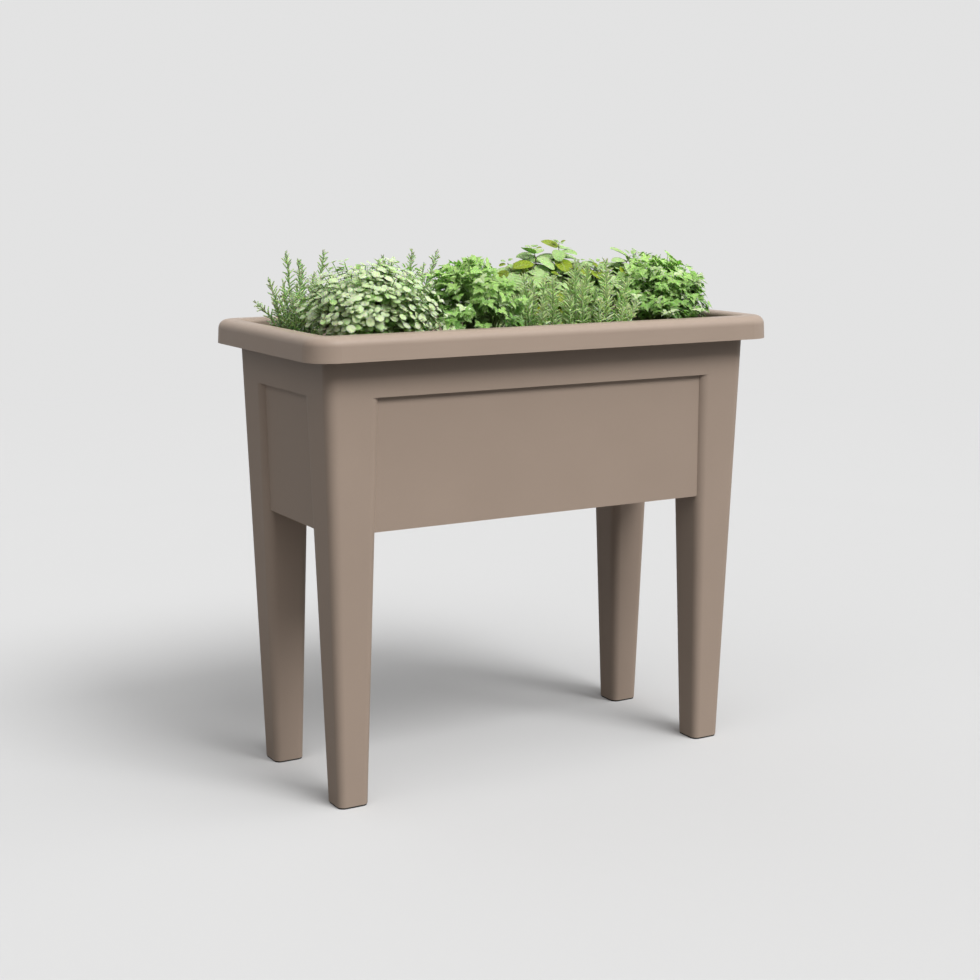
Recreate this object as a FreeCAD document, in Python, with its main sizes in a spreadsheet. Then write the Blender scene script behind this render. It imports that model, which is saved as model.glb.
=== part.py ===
"""Raised garden bed: a moulded tub on four plug-in legs, filled with soil and planted with herbs.

Millimetres. +Z is up, X runs along the bed, -Y is the front. The origin is on the floor, midway
between the four feet. Every driving size stands once in SIZES and goes into the spreadsheet.
"""
import FreeCAD, Part
import math
import os
import Sketcher

SIZES = {
    # Rolled rim of the tub, measured at the lower edge of its skirt
    "rim_length": 760.0,
    "rim_width": 372.5,
    "rim_top": 667.0,
    "rim_depth": 34.0,
    "rim_corner": 40.0,
    "rim_flare": 1.8,
    "rim_round": 13.0,
    "rim_inner_round": 7.0,
    "rim_overhang": 31.6,
    # Tapered body under the rim
    "draft": 1.68,
    "wall": 4.0,
    "band_depth": 53.0,
    "panel_height": 187.5,
    "recess": 7.0,
    "edge_round_rim": 16.0,
    "edge_round_foot": 10.5,
    "floor_lip": 18.0,
    "floor_thickness": 4.0,
    # Legs that plug into the corner columns
    "leg_foot_width": 46.3,
    "spigot_height": 80.0,
    "spigot_clearance": 0.4,
    # Foot pads
    "pad_thickness": 2.5,
    "pad_inset": 1.0,
    "pad_plug_height": 10.0,
    "pad_clearance": 0.3,
    # Screws that hold the legs from inside the tub
    "screw_head_diameter": 11.0,
    "screw_head_height": 3.2,
    "screw_shank_diameter": 4.8,
    "screw_shank_length": 16.0,
    "screw_hole_diameter": 5.4,
    # Drain hole, plug and seal
    "drain_hole_diameter": 28.0,
    "plug_clearance": 0.3,
    "plug_taper": 1.2,
    "plug_stand_out": 4.0,
    "plug_flange_diameter": 44.0,
    "plug_flange_thickness": 4.0,
    "plug_grip_height": 8.0,
    "plug_grip_width": 6.0,
    "seal_thickness": 2.5,
    "seal_width": 5.5,
    "seal_gap": 0.3,
    # Drain grid that keeps the soil off the floor
    "grid_height": 30.0,
    "grid_thickness": 3.0,
    "grid_gap": 2.0,
    "grid_foot_diameter": 16.0,
    "grid_foot_inset": 40.0,
    "slot_width": 4.0,
    "slot_pitch": 16.0,
    "slot_border": 22.0,
    # Soil and planting
    "soil_below_rim": 32.0,
    "soil_gap": 0.5,
    "bed_margin": 8.0,
    "plot_gap": 3.0,
    "head_gap": 2.0,
    "front_row_share": 0.54,
    "stalk_spread": 0.7,
    "height_variation": 0.2,
    "rosemary_height": 140.0,
    "rosemary_pitch": 29.0,
    "marjoram_height": 134.0,
    "marjoram_pitch": 33.0,
    "parsley_height": 132.0,
    "parsley_pitch": 38.0,
    "mint_height": 148.0,
    "mint_pitch": 46.0,
}

# Signs of the four corners, with the words that name the pieces there
CORNERS = {
    "front_left": (-1, -1),
    "front_right": (1, -1),
    "back_left": (-1, 1),
    "back_right": (1, 1),
}

# Planting plan, left to right: node, herb and its share of the row's length
FRONT_ROW = (
    ("marjoram", "marjoram", 0.285),
    ("parsley_centre", "parsley", 0.19),
    ("rosemary_front", "rosemary", 0.275),
    ("parsley_right", "parsley", 0.25),
)
BACK_ROW = (
    ("rosemary_left", "rosemary", 0.17),
    ("rosemary_back", "rosemary", 0.30),
    ("mint", "mint", 0.53),
)

# Outline of one stalk of each herb, from the soil up: (share of its height, share of its radius).
# Rosemary is a spindle of needles; the leafy herbs carry their leaves in tiers on a bare stem.
HEADS = {
    "rosemary": ((0.0, 0.3), (0.15, 0.75), (0.6, 1.0), (0.85, 0.7), (1.0, 0.15)),
    "marjoram": (
        (0.0, 0.15), (0.2, 0.2), (0.28, 0.8), (0.4, 0.35), (0.5, 0.95), (0.62, 0.4),
        (0.72, 1.0), (0.84, 0.45), (0.91, 0.85), (1.0, 0.3),
    ),
    "parsley": (
        (0.0, 0.1), (0.3, 0.14), (0.38, 0.75), (0.5, 0.4), (0.62, 1.0), (0.74, 0.55),
        (0.84, 1.0), (0.94, 0.8), (1.0, 0.35),
    ),
    "mint": (
        (0.0, 0.08), (0.3, 0.1), (0.36, 0.75), (0.44, 0.14), (0.6, 0.12), (0.68, 1.0),
        (0.76, 0.2), (0.88, 0.9), (0.94, 0.7), (1.0, 0.2),
    ),
}
# Leaves in one tier of each herb, and how far out the tier's outline reaches between two of them
TIERS = {"rosemary": (6, 0.7), "marjoram": (4, 0.55), "parsley": (5, 0.55), "mint": (4, 0.45)}
# Turns of the height wave from one stalk to the next, along X and along Y, in radians
WAVE_STEPS = (2.4, 4.1)
# Two levels nearer than this are the same
LEVEL_TOLERANCE = 0.01

doc = FreeCAD.newDocument("raised_garden_bed")
sheet = doc.addObject("Spreadsheet::Sheet", "Sizes")
for row, (alias, value) in enumerate(SIZES.items(), 1):
    sheet.set(f"A{row}", str(value))
    sheet.setAlias(f"A{row}", alias)
doc.recompute()

# Levels and half sizes as expressions on the sheet
FLOOR_LEVEL = "0"
RIM_TOP = "Sizes.rim_top"
SKIRT_BOTTOM = "(Sizes.rim_top - Sizes.rim_depth)"
BAND_BOTTOM = f"({SKIRT_BOTTOM} - Sizes.band_depth)"
LEDGE_TOP = f"({BAND_BOTTOM} + Sizes.wall)"
PANEL_BOTTOM = f"({BAND_BOTTOM} - Sizes.panel_height)"
TUB_FLOOR_BOTTOM = f"({PANEL_BOTTOM} + Sizes.floor_lip)"
TUB_FLOOR_TOP = f"({TUB_FLOOR_BOTTOM} + Sizes.floor_thickness)"
SPIGOT_TOP = f"({PANEL_BOTTOM} + Sizes.spigot_height)"
SOCKET_TOP = f"({SPIGOT_TOP} + Sizes.wall)"
LEG_BOTTOM = "Sizes.pad_thickness"
GRID_BOTTOM = f"({TUB_FLOOR_TOP} + Sizes.grid_height)"
GRID_TOP = f"({GRID_BOTTOM} + Sizes.grid_thickness)"
SOIL_TOP = "(Sizes.rim_top - Sizes.soil_below_rim)"
TAPER = "tan(Sizes.draft)"


def outer_half(side, level):
    """Half of the tapered body along X ("length") or Y ("width") at a level, as an expression."""
    return f"(Sizes.rim_{side} / 2 - Sizes.rim_overhang - ({SKIRT_BOTTOM} - {level}) * {TAPER})"


def leg_half(level):
    """Half of a leg's square section at a level: all four faces carry the body's draft."""
    return f"(Sizes.leg_foot_width / 2 + ({level}) * {TAPER})"


def edge_round(level):
    """Radius of the upright edges at a level, which grows evenly from the foot to the rim."""
    growth = f"(Sizes.edge_round_rim - Sizes.edge_round_foot) / {SKIRT_BOTTOM}"
    return f"(Sizes.edge_round_foot + ({level}) * {growth})"


def leg_axis(side, sign):
    """Place of a leg's upright centre line along X or Y, as an expression."""
    return f"{sign} * ({outer_half(side, FLOOR_LEVEL)} - {leg_half(FLOOR_LEVEL)})"


def number(expression):
    """The value of an expression on the sheet, as a plain number."""
    result = sheet.evalExpression(expression)
    return float(getattr(result, "Value", result))


def xy_plane(body):
    """The XY plane of a body's own origin."""
    return next(item for item in body.Origin.OriginFeatures if item.Role == "XY_Plane")


def level_sketch(body, name, level, centre=("0", "0")):
    """An empty sketch parallel to the floor at a level of its own body."""
    sketch = body.newObject("Sketcher::SketchObject", name)
    sketch.AttachmentSupport = (xy_plane(body), [""])
    sketch.MapMode = "FlatFace"
    for axis, place in zip("xyz", (*centre, level)):
        sketch.setExpression(f"AttachmentOffset.Base.{axis}", place)
    return sketch


def bind(sketch, constraint, name, expression):
    """Adds a dimension to a sketch and ties it to the sheet."""
    index = sketch.addConstraint(constraint)
    sketch.renameConstraint(index, name)
    sketch.setExpression(f"Constraints.{name}", expression)


def rounded_rectangle(body, name, level, half_x, half_y, radius, centre=("0", "0")):
    """A level sketch of a rectangle with four equal round corners, centred on its own origin."""
    sketch = level_sketch(body, name, level, centre)
    x, y, r = number(half_x), number(half_y), number(radius)
    up = FreeCAD.Vector(0, 0, 1)
    turns = ((x, -y, -1, 1, -90), (x, y, -1, -1, 0), (-x, y, 1, -1, 90), (-x, -y, 1, 1, 180))
    for corner_x, corner_y, in_x, in_y, start in turns:
        middle = FreeCAD.Vector(corner_x + in_x * r, corner_y + in_y * r, 0)
        circle = Part.Circle(middle, up, r)
        sketch.addGeometry(Part.ArcOfCircle(circle, math.radians(start), math.radians(start + 90)))
    arcs = (0, 1, 2, 3)
    for arc in arcs:
        following = (arc + 1) % len(arcs)
        start = sketch.Geometry[arc].EndPoint
        end = sketch.Geometry[following].StartPoint
        line = sketch.addGeometry(Part.LineSegment(start, end))
        sketch.addConstraint(Sketcher.Constraint("Tangent", arc, 2, line, 1))
        sketch.addConstraint(Sketcher.Constraint("Tangent", line, 2, following, 1))
    right, top, left, bottom = 4, 5, 6, 7
    for line in (right, left):
        sketch.addConstraint(Sketcher.Constraint("Vertical", line))
    for line in (top, bottom):
        sketch.addConstraint(Sketcher.Constraint("Horizontal", line))
    for arc in arcs[1:]:
        sketch.addConstraint(Sketcher.Constraint("Equal", 0, arc))
    sketch.addConstraint(Sketcher.Constraint("Symmetric", bottom, 1, top, 1, -1, 1))
    bind(sketch, Sketcher.Constraint("Radius", 0, r), "corner", radius)
    bind(sketch, Sketcher.Constraint("DistanceX", left, 1, right, 1, 2 * x), "length", f"2 * {half_x}")
    bind(sketch, Sketcher.Constraint("DistanceY", bottom, 1, top, 1, 2 * y), "width", f"2 * {half_y}")
    return sketch


def loft(body, kind, name, lower, upper):
    """A straight loft between two level sketches, added to the body or cut from it."""
    feature = body.newObject(f"PartDesign::{kind}Loft", name)
    feature.Profile = lower
    feature.Sections = [upper]
    feature.Ruled = True
    return feature


def body_block(body, kind, name, bottom, top, inset="0"):
    """A tapered block that follows the outside of the bed, set in by an inset all round."""
    sections = []
    for end, level in (("low", bottom), ("high", top)):
        half_x = f"({outer_half('length', level)} - {inset})"
        half_y = f"({outer_half('width', level)} - {inset})"
        radius = f"max({edge_round(level)} - {inset}; Sizes.wall)"
        sections.append(rounded_rectangle(body, f"{name}_{end}", level, half_x, half_y, radius))
    return loft(body, kind, name, *sections)


def leg_block(body, kind, name, bottom, top, inset="0", centre=("0", "0")):
    """A tapered square block that follows a leg's outside, set in by an inset all round."""
    sections = []
    for end, level in (("low", bottom), ("high", top)):
        half = f"({leg_half(level)} - {inset})"
        radius = f"max({edge_round(level)} - {inset}; Sizes.wall / 2)"
        sections.append(rounded_rectangle(body, f"{name}_{end}", level, half, half, radius, centre))
    return loft(body, kind, name, *sections)


def edges_at(feature, level, half_x, half_y):
    """Names of a feature's edges that lie at a level, within a half size either way."""
    names = []
    for index, edge in enumerate(feature.Shape.Edges, 1):
        box = edge.BoundBox
        flat = max(abs(box.ZMin - level), abs(box.ZMax - level)) < LEVEL_TOLERANCE
        reach_x = max(abs(box.XMin), abs(box.XMax))
        reach_y = max(abs(box.YMin), abs(box.YMax))
        if flat and reach_x < half_x and reach_y < half_y:
            names.append(f"Edge{index}")
    return names


def round_edges(body, name, base, level, half_x, half_y, radius):
    """Rounds the edges of the base feature that lie at a level, with a radius from the sheet."""
    doc.recompute()
    feature = body.newObject("PartDesign::Fillet", name)
    feature.Base = (base, edges_at(base, number(level), half_x, half_y))
    feature.setExpression("Radius", radius)
    return feature


def round_holes(body, name, level, centres, diameter):
    """Round holes cut upwards from a level, through everything above it."""
    sketch = level_sketch(body, f"{name}_outline", level)
    for index, (centre_x, centre_y) in enumerate(centres):
        middle = FreeCAD.Vector(number(centre_x), number(centre_y), 0)
        radius = number(diameter) / 2
        circle = sketch.addGeometry(Part.Circle(middle, FreeCAD.Vector(0, 0, 1), radius))
        bind(sketch, Sketcher.Constraint("Diameter", circle, 2 * radius), f"hole_{index}", diameter)
        if centre_x == centre_y == "0":
            sketch.addConstraint(Sketcher.Constraint("Coincident", circle, 3, -1, 1))
            continue
        across = Sketcher.Constraint("DistanceX", -1, 1, circle, 3, middle.x)
        along = Sketcher.Constraint("DistanceY", -1, 1, circle, 3, middle.y)
        bind(sketch, across, f"across_{index}", centre_x)
        bind(sketch, along, f"along_{index}", centre_y)
    pocket = body.newObject("PartDesign::Pocket", name)
    pocket.Profile = sketch
    pocket.Type = "ThroughAll"
    pocket.Reversed = True
    return pocket


def corner_centre(signs):
    """Place of the leg's centre line at a corner, as two expressions."""
    return leg_axis("length", signs[0]), leg_axis("width", signs[1])


def rim_block(body, kind, name, height, flare, inset):
    """A pad or pocket that follows the rim's outside upwards from the skirt, set in by an inset."""
    half_x = f"(Sizes.rim_length / 2 - {inset})"
    half_y = f"(Sizes.rim_width / 2 - {inset})"
    radius = f"(Sizes.rim_corner - {inset})"
    outline = rounded_rectangle(body, f"{name}_outline", SKIRT_BOTTOM, half_x, half_y, radius)
    feature = body.newObject(f"PartDesign::{kind}", name)
    feature.Profile = outline
    feature.setExpression("Length", height)
    feature.setExpression("TaperAngle", flare)
    return feature


def make_tub():
    """The moulded tub: rolled rim, band, recessed panels, corner columns, sockets and floor."""
    body = doc.addObject("PartDesign::Body", "tub")
    wide = number("Sizes.rim_length")

    # Rim block, rounded over its outer top edge, then hollowed from below
    flare = "-atan(Sizes.rim_flare / Sizes.rim_depth)"
    rim = rim_block(body, "Pad", "rim", "Sizes.rim_depth", flare, "0")
    round_edges(body, "rim_roll", rim, RIM_TOP, wide, wide, "Sizes.rim_round")
    hollow = rim_block(body, "Pocket", "rim_hollow", "Sizes.rim_depth - Sizes.wall", flare, "Sizes.wall")
    hollow.Reversed = True
    ceiling = f"{RIM_TOP} - Sizes.wall"
    round_edges(body, "rim_hollow_roll", hollow, ceiling, wide, wide, "Sizes.rim_round - Sizes.wall")

    # Outside of the body: band under the rim, recessed panels and the corner columns
    body_block(body, "Additive", "band", BAND_BOTTOM, f"({RIM_TOP} - Sizes.wall / 2)")
    body_block(body, "Additive", "panels", PANEL_BOTTOM, BAND_BOTTOM, "Sizes.recess")
    for corner, signs in CORNERS.items():
        centre = corner_centre(signs)
        leg_block(body, "Additive", f"column_{corner}", PANEL_BOTTOM, BAND_BOTTOM, centre=centre)

    # Inside: the cavity follows the outside a wall's thickness away, above and below the ledge
    panel_inside = "(Sizes.recess + Sizes.wall)"
    cavity = body_block(body, "Subtractive", "cavity_upper", LEDGE_TOP, RIM_TOP, "Sizes.wall")
    half_x = number(outer_half("length", RIM_TOP))
    half_y = number(outer_half("width", RIM_TOP))
    round_edges(body, "rim_inner_roll", cavity, RIM_TOP, half_x, half_y, "Sizes.rim_inner_round")
    body_block(body, "Subtractive", "cavity_lower", TUB_FLOOR_TOP, LEDGE_TOP, panel_inside)
    body_block(body, "Subtractive", "underside", PANEL_BOTTOM, TUB_FLOOR_BOTTOM, panel_inside)

    # Corner sockets: hollow column above, closed block below with the spigot's pocket in it
    for corner, signs in CORNERS.items():
        centre = corner_centre(signs)
        hollow = f"column_hollow_{corner}"
        leg_block(body, "Subtractive", hollow, SOCKET_TOP, LEDGE_TOP, "Sizes.wall", centre)
        leg_block(body, "Additive", f"socket_{corner}", PANEL_BOTTOM, SOCKET_TOP, centre=centre)
        pocket = f"socket_hollow_{corner}"
        leg_block(body, "Subtractive", pocket, PANEL_BOTTOM, SPIGOT_TOP, "Sizes.wall", centre)

    screw_places = [corner_centre(signs) for signs in CORNERS.values()]
    round_holes(body, "screw_holes", PANEL_BOTTOM, screw_places, "Sizes.screw_hole_diameter")
    round_holes(body, "drain_hole", PANEL_BOTTOM, [("0", "0")], "Sizes.drain_hole_diameter")
    return body


def make_leg(corner, signs):
    """A hollow tapered leg, with a spigot that plugs into the tub's corner socket."""
    body = doc.addObject("PartDesign::Body", f"leg_{corner}")
    spigot_inset = "(Sizes.wall + Sizes.spigot_clearance)"
    spigot_end = f"({SPIGOT_TOP} - Sizes.spigot_clearance)"
    shoulder = f"({PANEL_BOTTOM} - Sizes.wall)"
    leg_block(body, "Additive", "shaft", LEG_BOTTOM, PANEL_BOTTOM)
    leg_block(body, "Additive", "spigot", PANEL_BOTTOM, spigot_end, spigot_inset)
    leg_block(body, "Subtractive", "bore", LEG_BOTTOM, shoulder, "Sizes.wall")
    spigot_bore_end = f"({spigot_end} - Sizes.wall)"
    leg_block(body, "Subtractive", "spigot_bore", shoulder, spigot_bore_end, f"({spigot_inset} + Sizes.wall)")
    round_holes(body, "screw_hole", PANEL_BOTTOM, [("0", "0")], "Sizes.screw_hole_diameter")
    place(body, *corner_centre(signs))
    return body


def make_foot_pad(corner, signs):
    """A thin pad under a leg, held by a plug inside the leg's open end."""
    body = doc.addObject("PartDesign::Body", f"foot_pad_{corner}")
    leg_block(body, "Additive", "sole", FLOOR_LEVEL, LEG_BOTTOM, "Sizes.pad_inset")
    plug_top = f"({LEG_BOTTOM} + Sizes.pad_plug_height)"
    leg_block(body, "Additive", "plug", LEG_BOTTOM, plug_top, "(Sizes.wall + Sizes.pad_clearance)")
    place(body, *corner_centre(signs))
    return body


def place(item, x="0", y="0", z="0"):
    """Ties an object's place to the sheet."""
    for axis, expression in zip("xyz", (x, y, z)):
        item.setExpression(f"Placement.Base.{axis}", expression)


def cylinder(name, diameter, height, x="0", y="0", z="0"):
    """An upright cylinder with its sizes and place tied to the sheet."""
    item = doc.addObject("Part::Cylinder", name)
    item.setExpression("Radius", f"({diameter}) / 2")
    item.setExpression("Height", height)
    place(item, x, y, z)
    return item


def box(name, length, width, height, x, y, z):
    """A box centred on x and y and standing on z, with its sizes and place tied to the sheet."""
    item = doc.addObject("Part::Box", name)
    for side, expression in (("Length", length), ("Width", width), ("Height", height)):
        item.setExpression(side, expression)
    place(item, f"{x} - ({length}) / 2", f"{y} - ({width}) / 2", z)
    return item


def fuse(name, pieces):
    """One solid made of several that meet."""
    item = doc.addObject("Part::MultiFuse", name)
    item.Shapes = pieces
    return item


def group(name, pieces):
    """Several separate solids under one name."""
    item = doc.addObject("Part::Compound", name)
    item.Links = pieces
    return item


def cut(name, base, tool):
    """The base with the tool taken away."""
    item = doc.addObject("Part::Cut", name)
    item.Base = base
    item.Tool = tool
    return item


def make_leg_screws():
    """One screw per leg, through the top of its socket into the top of its spigot."""
    screws = []
    for corner, signs in CORNERS.items():
        x, y = corner_centre(signs)
        head_sizes = ("Sizes.screw_head_diameter", "Sizes.screw_head_height")
        head = cylinder(f"head_{corner}", *head_sizes, x, y, SOCKET_TOP)
        shank_sizes = ("Sizes.screw_shank_diameter", "Sizes.screw_shank_length")
        shank_start = f"{SOCKET_TOP} - Sizes.screw_shank_length"
        shank = cylinder(f"shank_{corner}", *shank_sizes, x, y, shank_start)
        screws.append(fuse(f"screw_{corner}", [head, shank]))
    return group("leg_screws", screws)


def make_drain_plug():
    """A push-in plug: tapered shank, flange below the floor and a finger grip across the flange."""
    seat = f"({TUB_FLOOR_BOTTOM} - Sizes.seal_gap - Sizes.seal_thickness)"
    flange_bottom = f"({seat} - Sizes.plug_flange_thickness)"
    flange_sizes = ("Sizes.plug_flange_diameter", "Sizes.plug_flange_thickness")
    flange = cylinder("plug_flange", *flange_sizes, z=flange_bottom)
    shank = doc.addObject("Part::Cone", "plug_shank")
    shank.setExpression("Radius1", "Sizes.drain_hole_diameter / 2 - Sizes.plug_clearance")
    shank.setExpression("Radius2", "Sizes.drain_hole_diameter / 2 - Sizes.plug_clearance - Sizes.plug_taper")
    shank.setExpression("Height", f"{TUB_FLOOR_TOP} + Sizes.plug_stand_out - {seat}")
    place(shank, z=seat)
    grip_length = "Sizes.plug_flange_diameter - 2 * Sizes.plug_grip_width"
    grip_sizes = (grip_length, "Sizes.plug_grip_width", "Sizes.plug_grip_height")
    grip = box("plug_grip", *grip_sizes, "0", "0", f"{flange_bottom} - Sizes.plug_grip_height")
    return fuse("drain_plug", [flange, shank, grip])


def make_plug_seal():
    """A flat rubber ring round the plug's shank, between the flange and the floor."""
    bottom = f"({TUB_FLOOR_BOTTOM} - Sizes.seal_gap - Sizes.seal_thickness)"
    bore = "(Sizes.drain_hole_diameter + 2 * Sizes.plug_clearance)"
    ring = cylinder("seal_ring", f"{bore} + 2 * Sizes.seal_width", "Sizes.seal_thickness", z=bottom)
    hole = cylinder("seal_bore", bore, "Sizes.seal_thickness", z=bottom)
    return cut("plug_seal", ring, hole)


def make_drain_grid(side, sign):
    """One half of the slotted false floor, on round feet, notched round the corner sockets."""
    inset = "(Sizes.recess + Sizes.wall + Sizes.grid_gap)"
    length = f"({outer_half('length', GRID_BOTTOM)} - {inset} - Sizes.grid_gap / 2)"
    width = f"(2 * ({outer_half('width', GRID_BOTTOM)} - {inset}))"
    middle = f"{sign} * (Sizes.grid_gap / 2 + {length} / 2)"
    plate = box(f"plate_{side}", length, width, "Sizes.grid_thickness", middle, "0", GRID_BOTTOM)

    openings = []
    notch = f"2 * ({leg_half(GRID_TOP)} + Sizes.grid_gap)"
    for end in (-1, 1):
        x, y = leg_axis("length", sign), leg_axis("width", end)
        name = f"notch_{side}_{'front' if end < 0 else 'back'}"
        openings.append(box(name, notch, notch, "Sizes.grid_thickness", x, y, GRID_BOTTOM))
    slot_length = f"{width} - 2 * ({notch}) - 2 * Sizes.slot_border"
    count = int(number(f"({length} - 2 * Sizes.slot_border) / Sizes.slot_pitch"))
    for index in range(count):
        x = f"{middle} + {index - (count - 1) / 2} * Sizes.slot_pitch"
        slot_sizes = ("Sizes.slot_width", slot_length, "Sizes.grid_thickness")
        openings.append(box(f"slot_{side}_{index}", *slot_sizes, x, "0", GRID_BOTTOM))
    slotted = cut(f"slotted_{side}", plate, group(f"openings_{side}", openings))

    pieces = [slotted]
    for end_x in (-1, 1):
        for end_y in (-1, 1):
            x = f"{middle} + {end_x} * ({length} / 2 - ({notch}) - Sizes.grid_foot_diameter)"
            y = f"{end_y} * ({width} / 2 - Sizes.grid_foot_inset)"
            foot_sizes = ("Sizes.grid_foot_diameter", "Sizes.grid_height")
            pieces.append(cylinder(f"grid_foot_{side}_{len(pieces)}", *foot_sizes, x, y, TUB_FLOOR_TOP))
    return fuse(f"drain_grid_{side}", pieces)


def make_soil():
    """The soil: fills the tub from the grid to below the rim, clear of walls and sockets."""
    body = doc.addObject("PartDesign::Body", "soil")
    ledge = f"({LEDGE_TOP} + Sizes.soil_gap)"
    lower_inset = "(Sizes.recess + Sizes.wall + Sizes.soil_gap)"
    body_block(body, "Additive", "soil_lower", GRID_TOP, ledge, lower_inset)
    body_block(body, "Additive", "soil_upper", ledge, SOIL_TOP, "(Sizes.wall + Sizes.soil_gap)")
    socket_clear = f"({SOCKET_TOP} + Sizes.screw_head_height + Sizes.soil_gap)"
    for corner, signs in CORNERS.items():
        centre = corner_centre(signs)
        leg_block(body, "Subtractive", f"clear_{corner}", GRID_TOP, socket_clear, "-Sizes.soil_gap", centre)
    return body


def tier_outline(herb, middle, radius):
    """A level star about a point, with one ray for each leaf of a tier of the herb."""
    leaves, notch = TIERS[herb]
    corners = []
    for index in range(2 * leaves):
        angle = math.pi * index / leaves
        reach = radius * notch if index % 2 else radius
        corners.append(middle + FreeCAD.Vector(reach * math.cos(angle), reach * math.sin(angle), 0))
    return Part.makePolygon([*corners, corners[0]])


def make_stalk(herb, centre, offset, height, step):
    """One stalk with its leaves: a straight loft through level stars that spread as they rise.

    All stalks of a clump spread alike at one level, so their leaves stay clear of each other.
    """
    spread = number("Sizes.stalk_spread")
    tallest = number(f"Sizes.{herb}_height")
    ground = number(SOIL_TOP)
    rings = []
    for rise, share in HEADS[herb]:
        reach = spread + (1 - spread) * rise * height / tallest
        radius = share * (step * reach - number("Sizes.head_gap")) / 2
        x = centre[0] + offset[0] * reach
        y = centre[1] + offset[1] * reach
        middle = FreeCAD.Vector(x, y, ground + height * rise)
        rings.append(tier_outline(herb, middle, radius))
    return Part.makeLoft(rings, True, True)


def make_clump(name, herb, low, high):
    """The stalks of one herb, on an even grid over its plot, tallest in the middle."""
    pitch = number(f"Sizes.{herb}_pitch")
    tallest = number(f"Sizes.{herb}_height")
    variation = number("Sizes.height_variation")
    size = [high[axis] - low[axis] for axis in (0, 1)]
    centre = [(high[axis] + low[axis]) / 2 for axis in (0, 1)]
    count = [max(1, int(size[axis] / pitch)) for axis in (0, 1)]
    step = [size[axis] / count[axis] for axis in (0, 1)]
    stalks = []
    for column in range(count[0]):
        for line in range(count[1]):
            offset = [step[0] * (column + 0.5) - size[0] / 2, step[1] * (line + 0.5) - size[1] / 2]
            edge = 2 * max(abs(offset[axis]) / size[axis] for axis in (0, 1))
            wave = (1 + math.sin(WAVE_STEPS[0] * column + WAVE_STEPS[1] * line)) / 2
            height = tallest * (1 - variation * (wave + edge) / 2)
            stalks.append(make_stalk(herb, centre, offset, height, min(step)))
    clump = doc.addObject("Part::Feature", name)
    clump.Shape = Part.makeCompound(stalks)
    clump.Placement = FreeCAD.Placement()
    return clump


def make_planting():
    """Both rows of herbs, each in its own plot on the soil."""
    half_x = number(f"{outer_half('length', SOIL_TOP)} - Sizes.wall - Sizes.bed_margin")
    half_y = number(f"{outer_half('width', SOIL_TOP)} - Sizes.wall - Sizes.bed_margin")
    gap = number("Sizes.plot_gap")
    divide = half_y * (2 * number("Sizes.front_row_share") - 1)
    clumps = []
    for row, low_y, high_y in ((FRONT_ROW, -half_y, divide - gap / 2), (BACK_ROW, divide + gap / 2, half_y)):
        start = -half_x
        for name, herb, share in row:
            end = start + 2 * half_x * share
            low = (start + gap / 2, low_y)
            high = (end - gap / 2, high_y)
            clumps.append(make_clump(name, herb, low, high))
            start = end
    return clumps


def check(items):
    """Stops the build if any object failed or any sub-part has no sound shape."""
    failed = [item.Name for item in doc.Objects if {"Invalid", "Error"} & set(item.State)]
    unsound = [item.Label for item in items if item.Shape.isNull() or not item.Shape.isValid()]
    if failed or unsound:
        raise RuntimeError(f"failed: {failed}, unsound: {unsound}")


def main():
    """Builds every sub-part, checks it and writes it."""
    items = [make_tub()]
    for corner, signs in CORNERS.items():
        items.append(make_leg(corner, signs))
        items.append(make_foot_pad(corner, signs))
    items.append(make_leg_screws())
    items.append(make_drain_plug())
    items.append(make_plug_seal())
    for side, sign in (("left", -1), ("right", 1)):
        items.append(make_drain_grid(side, sign))
    items.append(make_soil())
    items.extend(make_planting())
    doc.recompute()
    check(items)
    os.makedirs("parts", exist_ok=True)
    for item in items:
        item.Shape.exportStep(f"parts/{item.Label}.step")
        print(item.Label, len(item.Shape.Solids), round(item.Shape.Volume / 1000, 2))


main()
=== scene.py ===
"""Looks of a raised garden bed: finishes for its moulded parts, and soil and herbs made leaf by leaf.

Metres. +Z is up, X runs along the bed and -Y is its front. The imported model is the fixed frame: its moulded
pieces keep their shape and get a finish, and its plain soil and herb solids give way to detailed pieces that
grow in the same places.
"""
import logging
import math
from dataclasses import dataclass
from enum import Enum

import bpy
import numpy as np
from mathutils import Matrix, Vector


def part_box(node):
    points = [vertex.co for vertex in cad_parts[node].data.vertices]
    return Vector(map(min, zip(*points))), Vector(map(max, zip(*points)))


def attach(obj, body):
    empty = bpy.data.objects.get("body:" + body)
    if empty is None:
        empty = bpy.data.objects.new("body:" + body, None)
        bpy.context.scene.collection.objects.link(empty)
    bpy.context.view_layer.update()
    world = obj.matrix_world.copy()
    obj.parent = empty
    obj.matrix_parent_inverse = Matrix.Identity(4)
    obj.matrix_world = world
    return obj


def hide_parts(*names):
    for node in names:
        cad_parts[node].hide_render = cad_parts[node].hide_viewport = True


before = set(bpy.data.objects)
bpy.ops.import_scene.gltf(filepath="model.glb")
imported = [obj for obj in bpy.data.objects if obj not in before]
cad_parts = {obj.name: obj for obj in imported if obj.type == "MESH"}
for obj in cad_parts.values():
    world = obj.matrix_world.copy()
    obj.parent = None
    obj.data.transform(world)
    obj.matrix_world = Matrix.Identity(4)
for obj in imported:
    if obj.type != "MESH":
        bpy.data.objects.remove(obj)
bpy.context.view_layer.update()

Array = np.ndarray
Colour = tuple[float, float, float]
Place = tuple[float, float, float]
Pair = tuple[float, float]
# Least and most
Range = tuple[float, float]
# Clouds per metre, and octaves of finer ones on top
Noise = tuple[float, float]
Socket = bpy.types.NodeSocket

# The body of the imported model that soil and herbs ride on
PLANTED_BODY = "bed"
FULL_TURN = 2 * math.pi
UP = np.array([0.0, 0.0, 1.0])
# A level direction that no stem runs along, from which the circles round the stems start
SIDELONG = np.array([0.6, 0.8, 0.0])
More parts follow.
